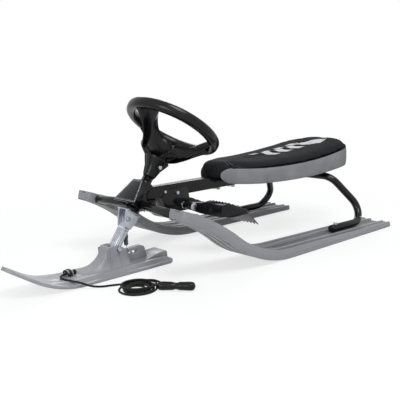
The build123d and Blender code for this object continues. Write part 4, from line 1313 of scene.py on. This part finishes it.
def seat_outline(count, inset=0.0):
    """The seat's closed outline in plan, evenly spaced: arcs round the rear, along the waist, round the
    shoulders and round the nose."""
    w, f = 122.0 - inset, 62.0 - inset
    x0, x1 = SEAT_X0 + inset, SEAT_X1 - inset
    half = [
        through((x0, 0), (x0 + 15, 0.68 * w), (x0 + 72, 0.965 * w), 30),
        through((x0 + 72, 0.965 * w), (x0 + 240, w), (x1 - 128, 0.87 * w), 30)[1:],
        through((x1 - 128, 0.87 * w), (x1 - 56, 0.70 * w), (x1 - 14, f - 12), 20)[1:],
        through((x1 - 14, f - 12), (NOSE_X - inset - 7, 34 - inset / 2), (NOSE_X - inset, 0), 20)[1:],
    ]
    half = np.concatenate(half)
    loop = np.concatenate([half, half[-2:0:-1] * (1, -1)])
    closed = np.concatenate([loop, loop[:1]])
    run = np.r_[0, np.cumsum(np.linalg.norm(np.diff(closed, axis=0), axis=1))]
    even = np.linspace(0, run[-1], count, endpoint=False)
    return np.c_[np.interp(even, run, closed[:, 0]), np.interp(even, run, closed[:, 1])]


def outwards(outline):
    """Unit directions square to a closed outline, away from its inside."""
    step = np.roll(outline, -1, 0) - np.roll(outline, 1, 0)
    step /= np.linalg.norm(step, axis=1)[:, None]
    out = np.c_[step[:, 1], -step[:, 0]]
    middle = outline.mean(0)
    return out * np.sign(((outline - middle) * out).sum(1).mean())


class SLED_OT_seat(bpy.types.Operator):
    """Makes the seat: a swollen top cushion over a soft grey side band, with piping and stitches"""

    bl_idname = "sled.seat"
    bl_label = "Seat"

    def execute(self, context):
        cushion = self.cushion()
        self.swell(cushion)
        band = self.band()
        piping = self.piping()
        stitches = self.stitches(context.scene.sled_sizes.stitch / MM, cushion)
        place(cushion, "frame", FINISHES["seat_top"], ["seat_pad", "seat_nose"])
        place(band, "frame", FINISHES["seat_side"])
        place(piping, "frame", FINISHES["seat_top"])
        place(stitches, "frame", FINISHES["thread"])
        place(self.shell(), "frame", FINISHES["black"], ["seat_shell"])
        return {"FINISHED"}

    def cushion(self):
        """Rows from the underside out to the edge and back over the top: each is the outline drawn in
        towards the seat's middle line. The top is a shallow crown from the seam; over the nose the edge
        goes down to the beam and the front stands upright."""
        outline = seat_outline(240)
        x, y = outline.T
        dip = np.clip((x - BAND_ROUND - 4) / 18, 0, 1)
        dip = dip * dip * (3 - 2 * dip)
        low = seat_height(SEAM, x) * (1 - dip) + SEAT_REST * dip
        inner = np.clip(x, 112, 425)
        rows = []
        for keep, crown, upright in (
            (0.05, 0, 0), (0.5, 0, 0), (0.9, 0, 0), (0.972, 0, 0), (0.992, 0.03, 0.05), (1.0, 0.10, 0.25),
            (0.998, 0.19, 0.5), (0.988, 0.31, 0.70), (0.965, 0.45, 0.83), (0.92, 0.59, 0.91), (0.84, 0.73, 0.95),
            (0.72, 0.84, 0.97), (0.55, 0.93, 0.985), (0.3, 0.985, 0.995), (0.05, 1.0, 1.0),
        ):
            px = inner + (x - inner) * keep
            rise = crown * (1 - dip) + upright * dip
            rows.append(at(px, y * keep, low + (seat_height(CREST, px) - 1.5 - low) * rise))
        return skin("seat_cushion", rows, sharp=80)

    def swell(self, cushion):
        """Blows the cushion up a little as cloth, no point further than the cap, then smooths it."""
        remesh = cushion.modifiers.new("remesh", "REMESH")
        remesh.mode = "VOXEL"
        remesh.voxel_size = VOXEL
        bake(cushion)
        start = coordinates(cushion.data)
        cloth = cushion.modifiers.new("cloth", "CLOTH")
        cloth.settings.use_pressure = True
        cloth.settings.uniform_pressure_force = 4.0
        cloth.settings.tension_stiffness = 25.0
        cloth.settings.compression_stiffness = 15.0
        cloth.settings.bending_stiffness = 0.8
        cloth.settings.effector_weights.gravity = 0.0
        scene = bpy.context.scene
        for number in range(1, SWELL_FRAMES + 1):
            scene.frame_set(number)
        bake(cushion)
        move = coordinates(cushion.data) - start
        scene.frame_set(1)
        far = np.linalg.norm(move, axis=1)[:, None]
        move *= np.minimum(1, SWELL_CAP / np.maximum(far, 1e-9))
        # the underside stays where it rests, and nothing swells out over the band
        move[:, :2] *= 0.35
        move[:, 2] = np.where(start[:, 2] * 1000 < seat_height(SEAM, start[:, 0] * 1000 + HALF_LENGTH) + 2,
                              np.maximum(move[:, 2], 0) * 0.2, move[:, 2])
        cushion.data.vertices.foreach_set("co", (start + move).ravel())
        even = cushion.modifiers.new("even", "CORRECTIVE_SMOOTH")
        even.iterations = 4
        even.use_only_smooth = True
        finer = cushion.modifiers.new("finer", "SUBSURF")
        finer.levels = finer.render_levels = 1
        bake(cushion)
        smooth(cushion)

    def strip(self, inset, end):
        """The outline without its front: from the near side round the rear to the far side."""
        outline = seat_outline(320, inset)
        keep = outline[:, 0] < end
        order = np.roll(np.arange(320), -int(np.argmax(~keep)))
        order = order[keep[order]]
        return outline[order], outwards(outline)[order]

    def band(self):
        """Rows round the seat, each a thin closed loop from the turned-up hem to the seam: it stands out
        in the middle of its height, its front ends are round, and shallow puckers run across it."""
        outline, out = self.strip(-0.2, BAND_END)
        x = outline[:, 0]
        share = np.sqrt(1 - np.clip((x - BAND_ROUND) / (BAND_END - BAND_ROUND + 0.6), 0, 1) ** 2)[:, None]
        seam, skirt = seat_height(SEAM, x)[:, None], seat_height(SKIRT, x)[:, None]
        section = np.array([(0.2, 0.03), (0.3, -0.035), (1.3, -0.05), (2.2, -0.01), (2.9, 0.12), (3.4, 0.35),
                            (3.5, 0.6), (3.0, 0.84), (2.0, 0.95), (0.9, 0.995), (0.2, 0.985), (0.1, 0.5)])
        reach = section[None, :, 0] * (0.35 + 0.65 * share) + 3.5 * (1 - share) * share
        run = np.linspace(0, 2 * pi, len(x))
        ripple = 0.28 * np.sin(run * 61) * np.sin(run * 7 + 1) + 0.22 * np.sin(run * 97 + 2) * np.sin(run * 5)
        shape = np.sin(pi * np.clip(section[:, 1], 0, 1))
        reach = reach + ripple[:, None] * shape[None, :] * (section[:, 0] > 0.5)
        px = x[:, None] + out[:, 0, None] * reach
        py = outline[:, 1, None] + out[:, 1, None] * reach
        pz = (seam + skirt) / 2 + (seam - skirt) * (section[None, :, 1] - 0.5) * share
        return skin("seat_band", at(px, py, pz), sharp=80)

    def piping(self):
        """A thin cord of cloth along the seam, tucked in where the band ends."""
        line, _ = self.strip(-0.6, BAND_ROUND + 12)
        sink = np.clip((line[:, 0] - BAND_ROUND + 6) / 18, 0, 1) * 4
        return pipe("seat_piping", at(line[:, 0], line[:, 1], seat_height(SEAM, line[:, 0]) + 0.4 - sink), 0.0011,
                    sides=10)

    def stitches(self, run, cushion):
        """Two rows of stitches across the nose, each stitch a short thread lying on the cushion."""
        stitches = []
        bpy.context.view_layer.update()
        for row_x in (484.0, 494.0):
            for y in np.arange(-57, 57.1, run * 1.5):
                path = []
                for t in np.linspace(-0.5, 0.5, 5):
                    place_x, place_y, _ = at(row_x, y + t * run, 0)
                    found, touch, _, _ = cushion.ray_cast(Vector((place_x, place_y, 0.5)), Vector((0, 0, -1)))
                    if found:
                        path.append((*touch[:2], touch[2] + (0.1 + 0.5 * (1 - 4 * t * t)) * MM))
                if len(path) == 5:
                    stitches.append(pipe("stitch", path, 0.00055, sides=6))
        return joined("seat_stitches", stitches)

    def shell(self):
        """The tray under the pad, its front drawn back and in under the nose."""
        shape = softened("seat_shell_shape", "seat_shell", 0.5)
        points = coordinates(shape.data)
        x = points[:, 0] / MM + HALF_LENGTH
        points[:, 0] -= np.clip((x - 380) / 176, 0, 1) * 52 * MM
        half = seat_outline(400, 1.6)[:200]
        room = np.interp(points[:, 0] / MM + HALF_LENGTH, half[:, 0], half[:, 1]) * MM
        points[:, 1] = np.clip(points[:, 1], -room, room)
        shape.data.vertices.foreach_set("co", points.ravel())
        return shape


# Fasteners

def hex_head(centre, axis, flats, height):
    """A hexagon head or nut on a base of the same form, with a groove between them: its radius follows
    the six flats, and its corners are cut by a cone."""
    axis, one, two = square_to(axis, (0.31, 0.52, 0.79))
    hexagon = flats / 2 / np.cos((full_turn(48) + pi / 6) % (pi / 3) - pi / 6)
    rows = [(0, flats), (1.3, flats), (1.5, flats), (1.5, flats / 2), (1.5, flats), (1.5 + height * 0.82, flats),
            (1.5 + height, flats / 2 * 0.97), (1.5 + height, flats / 4)]
    around = circle(48, one, two)
    grid = [centre + along * axis + np.minimum(hexagon, reach)[:, None] * around for along, reach in rows]
    return skin("hex", at_points(grid), sharp=28)


def on_axis_point(x, y, s):
    """A point beside the steering axis, in millimetres ahead of the rear ends of the rear skis."""
    return across_axis(x, y, s) / MM + np.array([HALF_LENGTH, 0, 0])


class SLED_OT_fasteners(bpy.types.Operator):
    """Makes the bolts and nuts"""

    bl_idname = "sled.fasteners"
    bl_label = "Fasteners"

    def execute(self, context):
        pivot = on_axis_point(0.0, 0.0, -350.0)
        heads = []
        for side in (1, -1):
            heads.append(hex_head(pivot + (0, side * 21.0, 0), (0, side, 0), 10.0, 4.5))
        place(joined("pivot_bolt_heads", heads), "steering", FINISHES["zinc"], ["pivot_bolt"])
        socket = np.radians(95.0)
        small = [hex_head(on_axis_point(21.5 * cos(socket), 21.5 * sin(socket), -119.0),
                          AXIS_X * cos(socket) + AXIS_Y * sin(socket), 10.0, 4.5)]
        fork = on_axis_point(12.0, 0.0, -274.0)
        for side in (1, -1):
            small.append(hex_head(fork + (0, side * 17.0, 0), (0, side, 0), 10.0, 5.0))
        place(joined("steering_bolts", small), "steering", FINISHES["zinc"])
        fixed = []
        for side in (1, -1):
            fixed.append(hex_head((661, side * 18.0, 174), (0, side, 0), 9.0, 4.5))
            fixed.append(hex_head((700, side * 15.2, 181), (0, side, 0), 7.0, 3.5))
            for x in (215, 92):
                z = np.interp(x, (36, 236), (24, 27)) + 10.6
                fixed.append(hex_head((x, side * 199.0, z), (0, 0, 1), 10.0, 4.0))
            for x in (500, 442):
                fixed.append(hex_head((x, side * 8.0, 165.2), (0, 0, -1), 10.0, 4.5))
        place(joined("frame_bolts", fixed), "frame", FINISHES["zinc"])
        return {"FINISHED"}


class SLED_PT_panel(bpy.types.Panel):
    """Lists what the sled is made of"""

    bl_idname = "SLED_PT_panel"
    bl_label = "Snow sled"
    bl_space_type = "VIEW_3D"
    bl_region_type = "UI"
    bl_category = "Sled"

    def draw(self, context):
        for group in (context.scene.sled_colours, context.scene.sled_sizes):
            for name in group.bl_rna.properties.keys():
                if name not in ("rna_type", "name"):
                    self.layout.prop(group, name)
        for operator in OPERATORS:
            self.layout.operator(operator.bl_idname)


OPERATORS = (
    SLED_OT_finishes, SLED_OT_stage, SLED_OT_tow_rope, SLED_OT_rear_skis, SLED_OT_front_ski, SLED_OT_wheel,
    SLED_OT_steel_frame, SLED_OT_steering, SLED_OT_brakes, SLED_OT_seat, SLED_OT_fasteners,
)
CLASSES = (SledColours, SledSizes, *OPERATORS, SLED_PT_panel)


def register():
    for cls in CLASSES:
        bpy.utils.register_class(cls)
    bpy.types.Scene.sled_colours = bpy.props.PointerProperty(type=SledColours)
    bpy.types.Scene.sled_sizes = bpy.props.PointerProperty(type=SledSizes)


def unregister():
    del bpy.types.Scene.sled_sizes
    del bpy.types.Scene.sled_colours
    for cls in reversed(CLASSES):
        bpy.utils.unregister_class(cls)


def main():
    register()
    bpy.ops.sled.finishes()
    bpy.ops.sled.stage()
    bpy.ops.sled.tow_rope()
    bpy.ops.sled.rear_skis()
    bpy.ops.sled.front_ski()
    bpy.ops.sled.wheel()
    bpy.ops.sled.steel_frame()
    bpy.ops.sled.steering()
    bpy.ops.sled.brakes()
    bpy.ops.sled.seat()
    bpy.ops.sled.fasteners()


if __name__ == "__main__":
    main()
